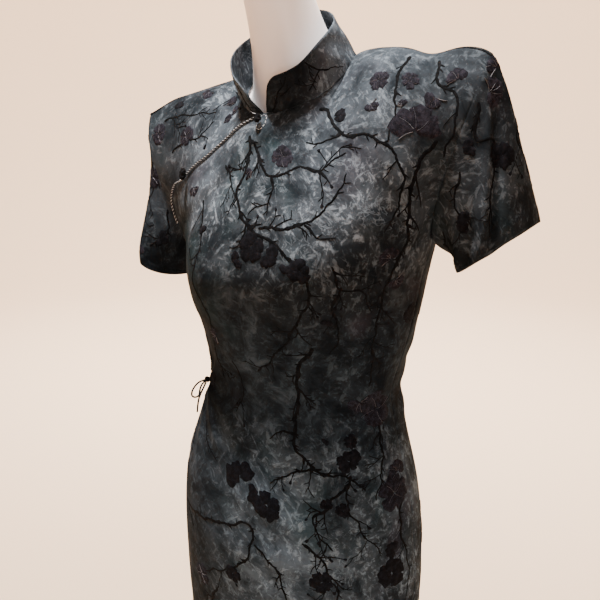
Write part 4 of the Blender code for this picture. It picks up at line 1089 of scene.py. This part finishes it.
# ---- the dress
FRONT, UNDERLAP, BACK, COLLAR = front_patch(), underlap_patch(), back_patch(), collar_patch()
ARMS = {name: sleeve_patch(name) for name in SLEEVES}


def dress_piece(name, patch, node, look=CLOTH_PAINTED_LIGHT_LOOK):
    put(wall(name, patch, look), node)


dress_piece("main_front", FRONT, "front_panel")
dress_piece("underlap", UNDERLAP, "underlap_panel")
dress_piece("back", BACK, "back_panel")
# the sleeves wear the cloth copy darkened by painted shade, the collar the one with a painted shadow on
# its front
dress_piece("left_sleeve", ARMS["sleeve_left"], "sleeve_left",
            SLEEVE_PAINTED_SHADE_LOOK)
dress_piece("right_sleeve", ARMS["sleeve_right"], "sleeve_right",
            SLEEVE_PAINTED_SHADE_LOOK)
dress_piece("stand_collar", COLLAR, "collar", COLLAR_PAINTED_SHADOW_LOOK)


# ---- motifs: flocked branches and blossoms
STEP = 0.0022           # length of a branch's segment


class Sketch:
    """The motifs of one patch: heaps for branches, plum blossoms, black ones and threads."""

    def __init__(self, patch, seed):
        self.patch, self.random = patch, np.random.default_rng(seed)
        self.uniform, self.moved, self.on = self.random.uniform, patch.moved, patch.on
        self.branch, self.plum, self.night, self.thread = Heap(), Heap(), Heap(), Heap()

    def stroke(self, places, widths, heap=None, height=0.00045):
        """A flat raised line through places, of the given widths."""
        places = np.array(places)
        if len(places) < 3:
            return
        base = self.on(places, 0.0)
        normal = unit(self.patch.sample(self.patch.normals, places))
        way = unit(np.gradient(base, axis=0))
        side = unit(np.cross(way, normal))
        half = (np.asarray(widths) / 2)[:, None]
        rim, under = normal * 0.00012, normal * 0.00030
        (heap or self.branch).rings(np.stack([
            base + side * half + rim, base + normal * height,
            base - side * half + rim, base - under], 1))

    def walk(self, start, heading, length, turn=0.0, wobble=0.12):
        """Places along a wandering line that turns by turn radians in all."""
        places, headings = [np.array(start, float)], [heading]
        count = max(3, int(length / STEP))
        drift = 0.0
        for _ in range(count):
            drift = 0.75 * drift + wobble * self.random.normal()
            heading += turn / count
            angle = heading + drift
            here = self.moved(places[-1], STEP * cos(angle), STEP * sin(angle))
            if not self.patch.inside(here):
                break
            places.append(here)
            headings.append(angle)
        return places, headings

    def spur(self, place, heading, length, width):
        """A thorn or a short broken side shoot."""
        places, _ = self.walk(place, heading, length, self.uniform(-0.5, 0.5), 0.05)
        self.stroke(places, np.linspace(width, 0.0007, len(places)))

    def twig(self, start, heading, length, width, depth=1):
        """A side branch with spurs and, where depth isn't 0, smaller twigs."""
        turn = self.uniform(-0.7, 0.7)
        places, headings = self.walk(start, heading, length, turn)
        count = len(places)
        if count < 4:
            return
        widths = np.linspace(width, 0.0009, count) * self.uniform(0.85, 1.2, count)
        self.stroke(places, widths)
        for k in range(3, count - 1, 3):
            chance = self.random.random()
            side = 1 if self.random.random() < 0.5 else -1
            if depth and chance < 0.30:
                self.twig(places[k], headings[k] + side * self.uniform(0.5, 0.9),
                          length * self.uniform(0.35, 0.6), width * 0.8, depth - 1)
            elif chance < 0.62:
                self.spur(places[k], headings[k] + side * self.uniform(0.6, 1.2),
                          self.uniform(0.0025, 0.0050), width * 0.8)
        if self.random.random() < 0.30:
            self.bud(places[-1], headings[-1], self.uniform(0.0016, 0.0026), self.night)

    def vine(self, points, width, thorns=0.013, twigs=0.034):
        """A winding stem near given places, with knots of its own, and with thorns and twigs
        about so many metres apart."""
        points = [Vector((*point, 0)) for point in points]
        line = np.array([(p.x, p.y) for p in through(points, 30 * len(points))])
        steps = np.linalg.norm(np.diff(self.on(line, 0.0), axis=0), axis=1)
        run = np.concatenate([[0], np.cumsum(steps)])
        count = max(5, int(run[-1] / STEP))
        even = np.linspace(0, run[-1], count)
        line = np.stack([np.interp(even, run, line[:, c]) for c in (0, 1)], 1)
        sway = np.cumsum(self.random.normal(size=count)) * 0.00045
        sway -= np.linspace(sway[0], sway[-1], count)
        kinks = 0.0011 * np.sin(np.cumsum(self.uniform(0.1, 0.75, count)))
        ends = np.minimum(1, np.minimum(np.arange(count), np.arange(count)[::-1]) / 4)
        places, headings = [], []
        for k in range(count):
            a, b = line[max(0, k - 1)], line[min(count - 1, k + 1)]
            level, above = (self.patch.sample(grid, line[k])
                            for grid in (self.patch.level, self.patch.above))
            way = self.on(b, 0.0) - self.on(a, 0.0)
            heading = float(np.arctan2(way @ above, way @ level))
            off = (sway[k] + kinks[k]) * ends[k]
            here = self.moved(line[k], -off * sin(heading), off * cos(heading))
            if self.patch.inside(here):
                places.append(here)
                headings.append(heading)
        count = len(places)
        if count < 5:
            return
        taper = np.linspace(1.0, 0.45, count)
        knots = np.convolve(self.random.random(count) > 0.93, (0.25, 0.5, 0.25), "same")
        widths = width * taper * (1 + knots) * self.uniform(0.84, 1.14, count)
        widths[0], widths[-1] = widths[0] * 0.6, 0.0008
        self.stroke(places, widths, height=0.00060)
        side = 1
        for k in range(2, count - 2):
            if self.random.random() < STEP / thorns:
                side = -side if self.random.random() < 0.7 else side
                self.spur(places[k], headings[k] + side * self.uniform(0.6, 1.3),
                          self.uniform(0.0022, 0.0055), widths[k] * 0.8)
            if self.random.random() < STEP / twigs:
                side = -side if self.random.random() < 0.8 else side
                self.twig(places[k], headings[k] + side * self.uniform(0.55, 1.0),
                          self.uniform(0.012, 0.034), widths[k] * 0.62)

    def petal(self, heap, centre, angle, length, width, start, points=19):
        """One petal from `start` metres out of the centre, along angle: three rings that rise
        to its middle, and a point below."""
        turn = 2 * pi * np.arange(points) / points
        uneven = 1 + 0.10 * self.random.normal(size=points)
        radial = start + length / 2 + np.cos(turn) * length / 2 * uneven
        radial -= 0.08 * length * np.exp(-(np.minimum(turn, 2 * pi - turn) / 0.35) ** 2)
        aside = np.sin(turn) * width / 2 * uneven * (0.82 + 0.22 * np.cos(turn))
        middle = start + length / 2
        rings = []
        for share, height in ((1.0, 0.00016), (0.80, 0.00058), (0.40, 0.00066)):
            r, a = middle + (radial - middle) * share, aside * share
            x, y = r * cos(angle) - a * sin(angle), r * sin(angle) + a * cos(angle)
            rings.append(self.on(self.moved(centre, x, y), height))
        at = self.moved(centre, [middle * cos(angle)], [middle * sin(angle)])
        top, low = self.on(at, 0.00060), self.on(at, -0.00040)
        faces = []
        for k in range(points):
            m = (k + 1) % points
            for ring in (0, 1):
                a, b = ring * points, (ring + 1) * points
                faces.append((a + k, a + m, b + m, b + k))
            faces.append((2 * points + k, 2 * points + m, 3 * points))
            faces.append((m, k, 3 * points + 1))
        heap.add(np.concatenate(rings + [top, low]), faces)

    def bud(self, place, heading, radius, heap):
        if self.patch.inside(place, 3):
            self.petal(heap, place, heading, radius * 2.6, radius * 1.9, 0.0, 9)

    def blossom(self, place, radius, heap, opened, turn):
        """A five-petalled blossom, or part of one seen from its side."""
        if not self.patch.inside(place, 2):
            return
        petals = 5 if opened > 300 else 3 if opened > 100 else 2
        turn, opened = radians(turn), radians(opened)
        for k in range(petals):
            angle = turn + opened * k / petals + self.uniform(-0.12, 0.12)
            size = radius * self.uniform(0.82, 1.12)
            wide = 2 * size * sin(pi / 5) * self.uniform(0.80, 1.02)
            self.petal(heap, place, angle, size * 0.94, wide, size * 0.05)
        if heap is self.plum:
            for k in range(4):
                angle = turn + opened * (k + 0.5) / 4 + self.uniform(-0.3, 0.3)
                out = radius * self.uniform(0.5, 0.95)
                line = [self.moved(place, out * s * cos(angle + s * 0.3),
                                   out * s * sin(angle + s * 0.3))
                        for s in (0.15, 0.4, 0.7, 1.0)]
                self.stroke(line, [0.0004, 0.0005, 0.0005, 0.0004], self.thread, 0.00085)

    def pieces(self, name):
        for heap, part, look in ((self.branch, "branches", BRANCH_LOOK),
                                 (self.plum, "plum_blossoms", PLUM_LOOK),
                                 (self.night, "black_blossoms", NIGHT_LOOK),
                                 (self.thread, "threads", FIBRE_LOOK)):
            if heap.total:
                put(heap.piece(f"{name}_{part}", look))


def draw(name, patch, seed, vines, blooms=(), in_mm=False):
    """Draws tables of vines and blooms on a patch. Their rows are z in mm or hundredths."""
    sketch = Sketch(patch, seed)

    def spot(column, row):
        return patch.place(column / 100, row / 1000 - ARMPIT_Z if in_mm else row / 100)

    for width, *flat in vines:
        sketch.vine([spot(*pair) for pair in zip(flat[::2], flat[1::2])], width / 10000)
    for column, row, radius, black, opened, turn in blooms:
        sketch.blossom(spot(column, row), radius / 10000,
                       sketch.night if black else sketch.plum, opened, turn)
    sketch.pieces(name)


FRONT_VINES = (
    # width in 0.1 mm, then across in hundredths and z in mm of each place
    (40, -3, 1350, -3, 1320, -6, 1285, 0, 1255, 12, 1236, 25, 1210, 33, 1175, 22, 1136, 0, 1085),
    (32, 6, 1248, 20, 1242, 30, 1240, 40, 1246, 46, 1265), (24, 28, 1240, 36, 1226, 43, 1220),
    (34, -3, 1346, 2, 1325, 7, 1302, 18, 1297, 33, 1276, 45, 1280), (24, 32, 1277, 38, 1264),
    (28, 8, 1300, 10, 1284, 9, 1260),
    (36, 20, 1354, 32, 1322, 42, 1296, 56, 1290, 66, 1281, 73, 1262, 72, 1240, 64, 1214),
    (26, 43, 1296, 31, 1300, 20, 1318), (30, 67, 1368, 65, 1336, 67, 1306, 65, 1285),
    (32, 80, 1368, 84, 1345, 94, 1332, 96, 1290),
    (38, 90, 1300, 83, 1275, 80, 1240, 78, 1205, 70, 1160, 68, 1120, 71, 1070),
    (26, 42, 1195, 47, 1172, 57, 1162, 63, 1142), (26, 47, 1172, 44, 1150, 47, 1128, 42, 1110),
    (44, 33, 1118, 26, 1094, 28, 1055, 26, 1012, 31, 994, 40, 982, 55, 976, 64, 958),
    (28, 27, 1018, 18, 1020, 10, 1008), (30, 40, 983, 25, 975, 12, 957),
    (34, 55, 968, 44, 946, 34, 926, 36, 908, 44, 888),
    (28, 56, 976, 52, 950, 57, 920, 64, 896, 71, 880),
    (40, -56, 862, -20, 880, 2, 902, 5, 877, -3, 838, -34, 785),
    (30, 5, 874, 14, 858, 19, 832, 21, 800, 15, 765), (32, 29, 893, 37, 879, 41, 858, 45, 825, 38, 790),
    (32, 78, 1056, 80, 1020, 77, 978, 70, 945),
    (30, -34, 1262, -30, 1225, -36, 1190, -30, 1150, -38, 1100, -33, 1060),
    (24, -16, 1305, -8, 1280, -11, 1260),
    (30, -70, 1165, -66, 1125, -72, 1085, -63, 1030, -66, 980, -58, 930),
    (26, -46, 990, -34, 966, -24, 956), (26, -20, 1090, -12, 1060, -16, 1025),
    (30, 90, 940, 86, 900, 92, 860, 88, 800), (38, 52, 810, 42, 760, 49, 710, 40, 660, 30, 630),
    (38, -20, 780, -27, 730, -18, 680, -25, 620, -14, 580),
    (34, -70, 760, -64, 710, -72, 650, -66, 590, -74, 540),
    (34, 84, 700, 78, 650, 84, 590, 76, 530, 80, 470),
    (38, 20, 600, 27, 550, 18, 490, 26, 430, 21, 370),
    (36, -48, 540, -41, 490, -50, 430, -42, 380, -47, 330), (32, 60, 460, 52, 420, 59, 360, 52, 310),
    (32, -8, 480, -16, 420, -8, 370, -14, 320), (28, -23, 700, -8, 715, 8, 700, 17, 680),
    (26, 47, 715, 60, 722, 72, 705), (26, -69, 655, -54, 640, -42, 652),
    (28, 22, 520, 40, 535, 54, 520), (26, -46, 460, -30, 450, -20, 462),
)
FRONT_BLOOMS = (
    # across in hundredths, z in mm, radius in 0.1 mm, 1 if black, degrees opened, turn
    (11, 1318, 120, 0, 360, 20), (0, 1309, 102, 0, 60, 190), (39, 1312, 72, 1, 360, 40),
    (57, 1333, 114, 0, 360, 50), (55, 1312, 84, 0, 170, 230), (71, 1340, 96, 0, 360, 10),
    (78, 1300, 250, 0, 200, 30), (84, 1332, 120, 0, 150, 200), (91, 1350, 108, 0, 150, 80),
    (70, 1315, 72, 0, 60, 100), (3, 1229, 168, 1, 360, 10), (11, 1221, 144, 1, 200, 250),
    (-3, 1216, 114, 1, 170, 150), (28, 1200, 132, 1, 360, 64), (22, 1208, 102, 1, 150, 200),
    (69, 1186, 138, 0, 150, 60), (74, 1166, 120, 0, 150, 240), (40, 1140, 72, 1, 150, 20),
    (-5, 951, 240, 1, 200, 60), (11, 930, 198, 1, 360, 24), (1, 940, 132, 1, 170, 300),
    (80, 1042, 228, 0, 360, 44), (66, 1054, 156, 0, 200, 200), (58, 1013, 90, 1, 360, 0),
    (56, 992, 138, 1, 360, 30), (84, 947, 216, 0, 360, 80), (91, 968, 156, 0, 200, 20),
    (77, 852, 204, 1, 360, 12), (80, 880, 132, 1, 170, 100), (38, 846, 156, 1, 360, 50),
    (50, 937, 90, 1, 360, 22), (41, 943, 74, 1, 360, 60), (-8, 818, 132, 1, 360, 8),
    (42, 1012, 50, 1, 150, 0), (-30, 1118, 138, 0, 150, 100), (-50, 1044, 126, 1, 360, 33),
    (-60, 903, 156, 1, 200, 130), (-78, 930, 156, 0, 360, 15), (-46, 1268, 114, 0, 170, 230),
    (-28, 1238, 84, 1, 150, 80), (-78, 1120, 120, 1, 150, 40), (94, 1130, 132, 1, 360, 25),
    (-34, 780, 180, 0, 360, 55), (16, 740, 192, 1, 360, 25), (50, 690, 168, 0, 360, 60),
    (-8, 640, 216, 1, 360, 5), (-60, 620, 180, 0, 360, 33), (78, 560, 192, 0, 360, 71),
    (26, 480, 204, 1, 360, 41), (-30, 430, 192, 0, 360, 9), (52, 370, 198, 0, 360, 28),
    (-66, 370, 180, 1, 360, 66), (-5, 340, 168, 1, 360, 18), (-88, 780, 144, 1, 360, 48),
    (60, 610, 132, 1, 200, 140), (-82, 480, 168, 0, 200, 30), (86, 400, 168, 1, 200, 200),
)
BACK_VINES = (
    (38, -50, 1372, -56, 1330, -46, 1290, -52, 1240, -42, 1190, -30, 1160),
    (36, 40, 1372, 46, 1330, 36, 1280, 44, 1230, 34, 1180, 38, 1130),
    (36, 2, 1350, -5, 1310, 4, 1260, -4, 1210, 5, 1160), (28, 3, 1262, 14, 1275, 24, 1262),
    (32, 84, 1330, 78, 1280, 84, 1230, 76, 1180, 80, 1120),
    (32, -84, 1300, -78, 1250, -85, 1200, -78, 1150, -82, 1100),
    (36, -30, 1130, -36, 1090, -26, 1040, -34, 990, -26, 940),
    (36, 52, 1100, 44, 1050, 52, 1000, 42, 950, 50, 900), (28, -28, 1045, -14, 1055, -2, 1040, 8, 1050),
    (38, 10, 1010, 16, 960, 6, 910, 14, 860, 4, 810),
    (34, -66, 980, -60, 930, -68, 880, -60, 830, -66, 780),
    (32, 76, 900, 70, 850, 78, 800, 70, 740, 76, 690),
    (38, -20, 780, -14, 730, -24, 680, -16, 620, -22, 570),
    (36, 36, 720, 28, 670, 36, 610, 28, 560, 34, 510), (28, 7, 835, 20, 845, 32, 830, 42, 840),
    (32, -70, 660, -64, 600, -72, 550, -64, 500, -70, 450),
    (32, 80, 580, 74, 530, 80, 470, 72, 420, 78, 360), (34, 0, 500, 6, 450, -4, 400, 4, 350, -2, 310),
    (30, -44, 420, -38, 380, -46, 330, -40, 300), (28, -22, 600, -36, 610, -46, 595),
)
BACK_BLOOMS = (
    (-50, 1335, 174, 0, 360, 15), (46, 1352, 144, 0, 170, 210), (12, 1300, 132, 0, 150, 260),
    (84, 1300, 156, 0, 360, 40), (-86, 1270, 144, 1, 170, 250), (-14, 1210, 180, 1, 360, 64),
    (46, 1190, 168, 0, 360, 22), (10, 1100, 156, 1, 200, 50), (-50, 1120, 156, 0, 360, 70),
    (72, 1060, 156, 1, 170, 100), (-20, 990, 192, 0, 360, 35), (34, 960, 216, 1, 360, 10),
    (-72, 930, 180, 1, 360, 55), (78, 860, 192, 0, 360, 27), (4, 840, 180, 0, 360, 60),
    (-42, 800, 216, 1, 360, 19), (50, 740, 180, 1, 360, 44), (-10, 660, 192, 0, 360, 5),
    (-78, 610, 180, 0, 360, 38), (70, 580, 192, 1, 360, 68), (24, 500, 204, 0, 360, 12),
    (-40, 450, 192, 1, 360, 50), (56, 370, 192, 0, 360, 30), (-2, 350, 192, 1, 360, 8),
    (-66, 1180, 132, 1, 170, 20), (24, 1250, 120, 1, 360, 55),
)
SLEEVE_DRAWINGS = {
    # vines and blooms, in hundredths round the arm and down it
    "sleeve_left": ((
        (32, 40, 6, 36, 22, 41, 40, 34, 62, 31, 88), (30, 50, 6, 54, 28, 49, 50, 55, 76),
        (26, 27, 22, 22, 44, 26, 72), (30, 66, 6, 62, 28, 68, 52, 64, 84),
        (30, 80, 12, 84, 36, 78, 60, 84, 90), (26, 10, 34, 6, 60, 12, 88)), (
        (44, 11, 144, 0, 170, 240), (49, 8, 114, 0, 150, 20), (42, 48, 144, 1, 360, 30),
        (24, 62, 120, 1, 170, 60), (54, 62, 144, 1, 360, 12), (34, 22, 102, 1, 150, 90),
        (70, 34, 156, 0, 360, 55), (86, 62, 144, 0, 360, 24), (8, 62, 120, 1, 170, 120))),
    "sleeve_right": ((
        (32, 38, 6, 33, 28, 38, 52, 32, 84), (28, 22, 16, 18, 40, 23, 70),
        (30, 53, 8, 49, 34, 54, 60, 50, 90), (30, 68, 10, 73, 34, 67, 60, 72, 90),
        (30, 86, 14, 82, 40, 87, 66, 83, 90)), (
        (36, 22, 144, 0, 360, 15), (20, 52, 132, 1, 200, 80), (50, 56, 144, 1, 360, 40),
        (70, 44, 156, 0, 360, 62), (88, 70, 132, 1, 360, 20), (30, 80, 114, 0, 170, 200),
        (44, 10, 120, 0, 170, 300))),
}
UNDERLAP_VINES = (
    (26, -88, 1356, -74, 1344, -62, 1334, -46, 1330), (26, -80, 1312, -66, 1312, -55, 1310, -45, 1322),
    (24, -16, 1375, -28, 1356, -40, 1352),
)
UNDERLAP_BLOOMS = (
    (-92, 1346, 138, 0, 360, 25), (-58, 1362, 114, 0, 170, 160), (-34, 1345, 126, 0, 60, 200),
    (-24, 1356, 108, 0, 60, 230), (-66, 1316, 132, 0, 360, 58), (-78, 1360, 108, 1, 150, 20),
    (-44, 1374, 120, 0, 60, 30), (-30, 1334, 108, 0, 60, 210),
)
COLLAR_VINES = (
    # hundredths along the collar from its right front edge round the back, and up it
    (18, 97, 10, 93, 45, 90, 90), (16, 93, 45, 88, 60), (18, 80, 95, 76, 55, 70, 20),
    (16, 76, 55, 82, 30), (18, 58, 10, 55, 50, 50, 92), (18, 40, 90, 36, 50, 31, 15),
    (18, 22, 10, 18, 50, 14, 95), (16, 5, 85, 8, 50, 6, 12),
)
draw("front", FRONT, 11, FRONT_VINES, FRONT_BLOOMS, True)
draw("underlap", UNDERLAP, 5, UNDERLAP_VINES, UNDERLAP_BLOOMS, True)
draw("back", BACK, 23, BACK_VINES, BACK_BLOOMS, True)
for sleeve, (vines, blooms) in SLEEVE_DRAWINGS.items():
    draw(sleeve.replace("sleeve_", "arm_"), ARMS[sleeve], 31 + len(sleeve), vines, blooms)
draw("neck", COLLAR, 47, COLLAR_VINES)


# ---- trim
def make_piping(pitch=0.0042, orbit=0.00052, spacing=0.0004):
    """Two thin strands twisted round each other along the main front's edge."""
    rows, columns = FRONT.points.shape[:2]
    j = (np.linspace(-0.925, -0.030, 160) + 1) / 2 * (columns - 1)
    places = np.stack([np.full(len(j), rows - 1.002), j], -1)
    edge = FRONT.on(places, 0.0)
    normal = unit(FRONT.sample(FRONT.normals, places))
    inside = np.cross(normal, unit(np.gradient(edge, axis=0)))
    inside *= np.where(inside[:, 2:3] > 0, -1, 1)
    middle = edge + normal * (PIPING_RADIUS + 0.0002) + inside * PIPING_RADIUS * 0.6
    distance = np.concatenate([[0], np.cumsum(np.linalg.norm(np.diff(middle, axis=0), axis=1))])
    fine = np.arange(0, distance[-1], spacing)
    middle, normal, inside = (
        np.stack([np.interp(fine, distance, grid[:, c]) for c in range(3)], 1)
        for grid in (middle, normal, inside))
    for name, start, look, radius in (("piping_pale", 0.0, PALE_THREAD, 0.00040),
                                      ("piping_dark", pi, DARK_THREAD, 0.00085)):
        turn = (fine / pitch * 2 * pi + start)[:, None]
        heap = Heap()
        heap.tube(middle + (normal * np.cos(turn) + inside * np.sin(turn)) * orbit, radius, 7)
        put(heap.piece(name, look), "placket_piping")


def skin_at(across, up):
    """(point, normal) of the front's smooth skin."""
    u, v = np.array([across]), np.array([up])
    normal, _ = skin_frame(-1, u, v)
    return Vector(skin(-1, u, v)[0]), Vector(normal[0])


def make_buttons():
    clear = LAP_RAISE + 2 * PIPING_RADIUS + 2 * SEAM_GAP
    for name, node, (across, up), size, turn in (
        ("neck_ball", "neck_button", (0.002, YOKE - 0.013), (0.0038, 0.0062, 0.0034), 0.5),
        ("breast_ball", "lap_button", (-0.565, 0.0855), (0.0050, 0.0074, 0.0038), 0.2),
    ):
        point, normal = skin_at(across, up)
        woven_ball(name, point + normal * (clear + size[2] * 1.07), size, normal, turn, node)
    stitch_ring()


def stitch_ring(stitches=12, half_width=0.0056, half_height=0.0084):
    """Pale stitches on the cloth round the neck button."""
    heap = Heap()
    middle = FRONT.place(0.004, YOKE - 0.014)
    for k in range(stitches):
        turns = 2 * pi * k / stitches + np.array((-0.13, 0.0, 0.13))
        places = FRONT.moved(middle, half_width * np.cos(turns), half_height * np.sin(turns))
        heap.tube(FRONT.on(places, 0.0003), 0.0004)
    put(heap.piece("neck_stitches", PALE_THREAD))


make_piping()
make_buttons()


# ---- dress form and stand
def make_form():
    """The form from its solid, with the faces joined and smoothed."""
    mesh = bmesh.new()
    mesh.from_mesh(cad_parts["form_torso"].data)
    bmesh.ops.remove_doubles(mesh, verts=mesh.verts, dist=1e-5)
    bmesh.ops.join_triangles(mesh, faces=mesh.faces, angle_face_threshold=radians(30),
                             angle_shape_threshold=radians(45))
    data = bpy.data.meshes.new("dress_form")
    mesh.to_mesh(data)
    mesh.free()
    made = linked("dress_form", data, FORM_LOOK, 80)
    finer = made.modifiers.new("finer", "SUBSURF")
    finer.levels = finer.render_levels = 2
    put(made, "form_torso")


make_form()
for node in ("neck_cap", "stand_base", "stand_pole"):
    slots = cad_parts[node].material_slots
    for one in slots:
        one.material = METAL_LOOK


# ---- stage
def make_stage():
    """A pale floor that curves up to a wall all round."""
    profile = [(0.001, 0.0), (2.0, 0.0), (4.0, 0.0)]
    profile += [(4.0 + 2.5 * sin(a), 2.5 - 2.5 * cos(a)) for a in
                [radians(d) for d in range(9, 91, 9)]] + [(6.5, 5.0)]
    sides = 96
    heap = Heap()
    faces = []
    for low in range(0, (len(profile) - 1) * sides, sides):
        for k in range(sides):
            m = (k + 1) % sides
            faces.append((low + k, low + sides + k, low + sides + m, low + m))
    heap.add([(radius * cos(2 * pi * k / sides), radius * sin(2 * pi * k / sides), z - 0.0005)
              for radius, z in profile for k in range(sides)], faces + [range(sides)])
    heap.piece("floor", floor_material())


def area_light(name, place, target, size, power, colour):
    data = bpy.data.lights.new(name, "AREA")
    data.shape, data.size, data.energy, data.color = "DISK", size, power, colour
    made = in_scene(name, data)
    made.location = place
    made.rotation_mode = "QUATERNION"
    made.rotation_quaternion = (Vector(target) - Vector(place)).to_track_quat("-Z", "Y")


def make_light():
    world = bpy.data.worlds.new("studio")
    world.use_nodes = True
    background = world.node_tree.nodes["Background"]
    background.inputs["Color"].default_value = (1.0, 0.97, 0.93, 1)
    background.inputs["Strength"].default_value = 0.20
    bpy.context.scene.world = world
    area_light("key", (-0.20, -0.22, 3.30), (0.0, -0.03, 1.25), 0.30, 290, (1.0, 0.985, 0.96))
    area_light("fill", (1.25, -1.60, 1.30), (0.05, 0.0, 1.05), 0.9, 16, (1.0, 0.975, 0.96))
    for name, place, target, power in (
        ("wash_1", (-0.9, 1.2, 2.7), (-3.6, 5.4, 1.0), 260),
        ("wash_2", (-1.9, 0.9, 2.7), (-5.4, 3.6, 1.0), 150),
        ("wash_3", (0.6, 1.6, 2.7), (0.9, 6.2, 1.0), 190),
    ):
        area_light(name, place, target, 1.0, power, (1.0, 0.95, 0.89))


make_stage()
make_light()
